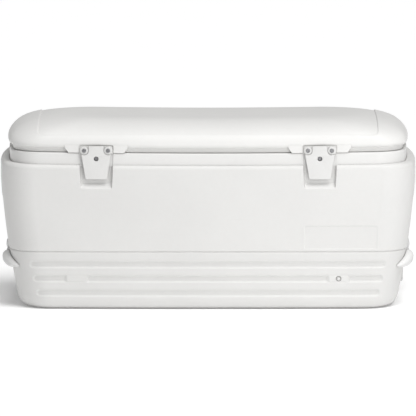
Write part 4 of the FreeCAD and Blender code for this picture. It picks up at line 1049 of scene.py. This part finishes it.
def make_floor():
    """A wide pale floor under and behind the chest."""
    mesh = bpy.data.meshes.new("studio_floor")
    work = bmesh.new()
    bmesh.ops.create_grid(work, x_segments=24, y_segments=24, size=16.0)
    work.to_mesh(mesh)
    work.free()
    floor = bpy.data.objects.new("studio_floor", mesh)
    bpy.context.scene.collection.objects.link(floor)
    material, tree, bsdf = shader("studio_floor")
    tone = mixed(tree, noise(tree, object_place(tree), 3.0, 3.0), (0.955,) * 3, (0.965,) * 3)
    feed(tree, tone, bsdf.inputs["Base Color"])
    bsdf.inputs["Roughness"].default_value = 0.9
    bsdf.inputs["Emission Color"].default_value = (1, 1, 1, 1)
    bsdf.inputs["Emission Strength"].default_value = 0.11
    dress(floor, material)


def make_world(strength, seen):
    """Even white surroundings: one strength for light, another where the camera sees them."""
    world = bpy.data.worlds.new("studio_world")
    world.use_nodes = True
    tree = world.node_tree
    background = tree.nodes["Background"]
    background.inputs["Color"].default_value = (1, 1, 1, 1)
    seeing = add_node(tree, "ShaderNodeLightPath").outputs["Is Camera Ray"]
    level = add_node(tree, "ShaderNodeMix", data_type="FLOAT", Factor=seeing, A=strength, B=seen)
    feed(tree, level.outputs["Result"], background.inputs["Strength"])
    bpy.context.scene.world = world


def hang_lamp(name, data, spot, aim):
    """Put a light at a spot and point it at its aim."""
    lamp = bpy.data.objects.new(name, data)
    lamp.location = spot
    lamp.rotation_euler = (Vector(aim) - Vector(spot)).to_track_quat("-Z", "Y").to_euler()
    bpy.context.scene.collection.objects.link(lamp)


def add_sun(name, turn, rise, spread, strength):
    """A wide, even, soft light from a direction given in degrees: turn to the right, rise."""
    data = bpy.data.lights.new(name, "SUN")
    data.angle = math.radians(spread)
    data.energy = strength
    turn, rise = math.radians(turn), math.radians(rise)
    away = Vector((math.sin(turn) * math.cos(rise), -math.cos(turn) * math.cos(rise), math.sin(rise)))
    hang_lamp(name, data, away * 6.0, (0, 0, 0))


def add_panel(name, spot, aim, size, power):
    """A soft rectangular light."""
    data = bpy.data.lights.new(name, "AREA")
    data.shape = "RECTANGLE"
    data.size, data.size_y = size
    data.energy = power
    hang_lamp(name, data, spot, aim)


make_floor()
make_world(0.31, 1.0)
add_sun("high_key", 28.0, 63.0, 40.0, 2.30)
add_panel("front_fill", (0.70, -1.45, 0.65), (0.15, 0, 0.2), (0.9, 0.6), 5.5)

# the focal length and the photo's width are in pixels
FOCAL, PHOTO_WIDTH, DISTANCE = 5025.0, 416, 12.0
camera_data = bpy.data.cameras.new("camera")
camera_data.sensor_width = 36.0
camera_data.lens = FOCAL * camera_data.sensor_width / PHOTO_WIDTH
camera = bpy.data.objects.new("camera", camera_data)
RISE = math.radians(7.2)
AIM = Vector((0.0, 0.0, 0.2165))
camera.location = AIM + DISTANCE * Vector((0, -math.cos(RISE), math.sin(RISE)))
camera.rotation_euler = (math.pi / 2 - RISE, 0.0, 0.0)
camera_data.clip_start, camera_data.clip_end = 0.5, 60.0
bpy.context.scene.collection.objects.link(camera)
bpy.context.scene.camera = camera
bpy.context.scene.view_settings.view_transform = "Standard"
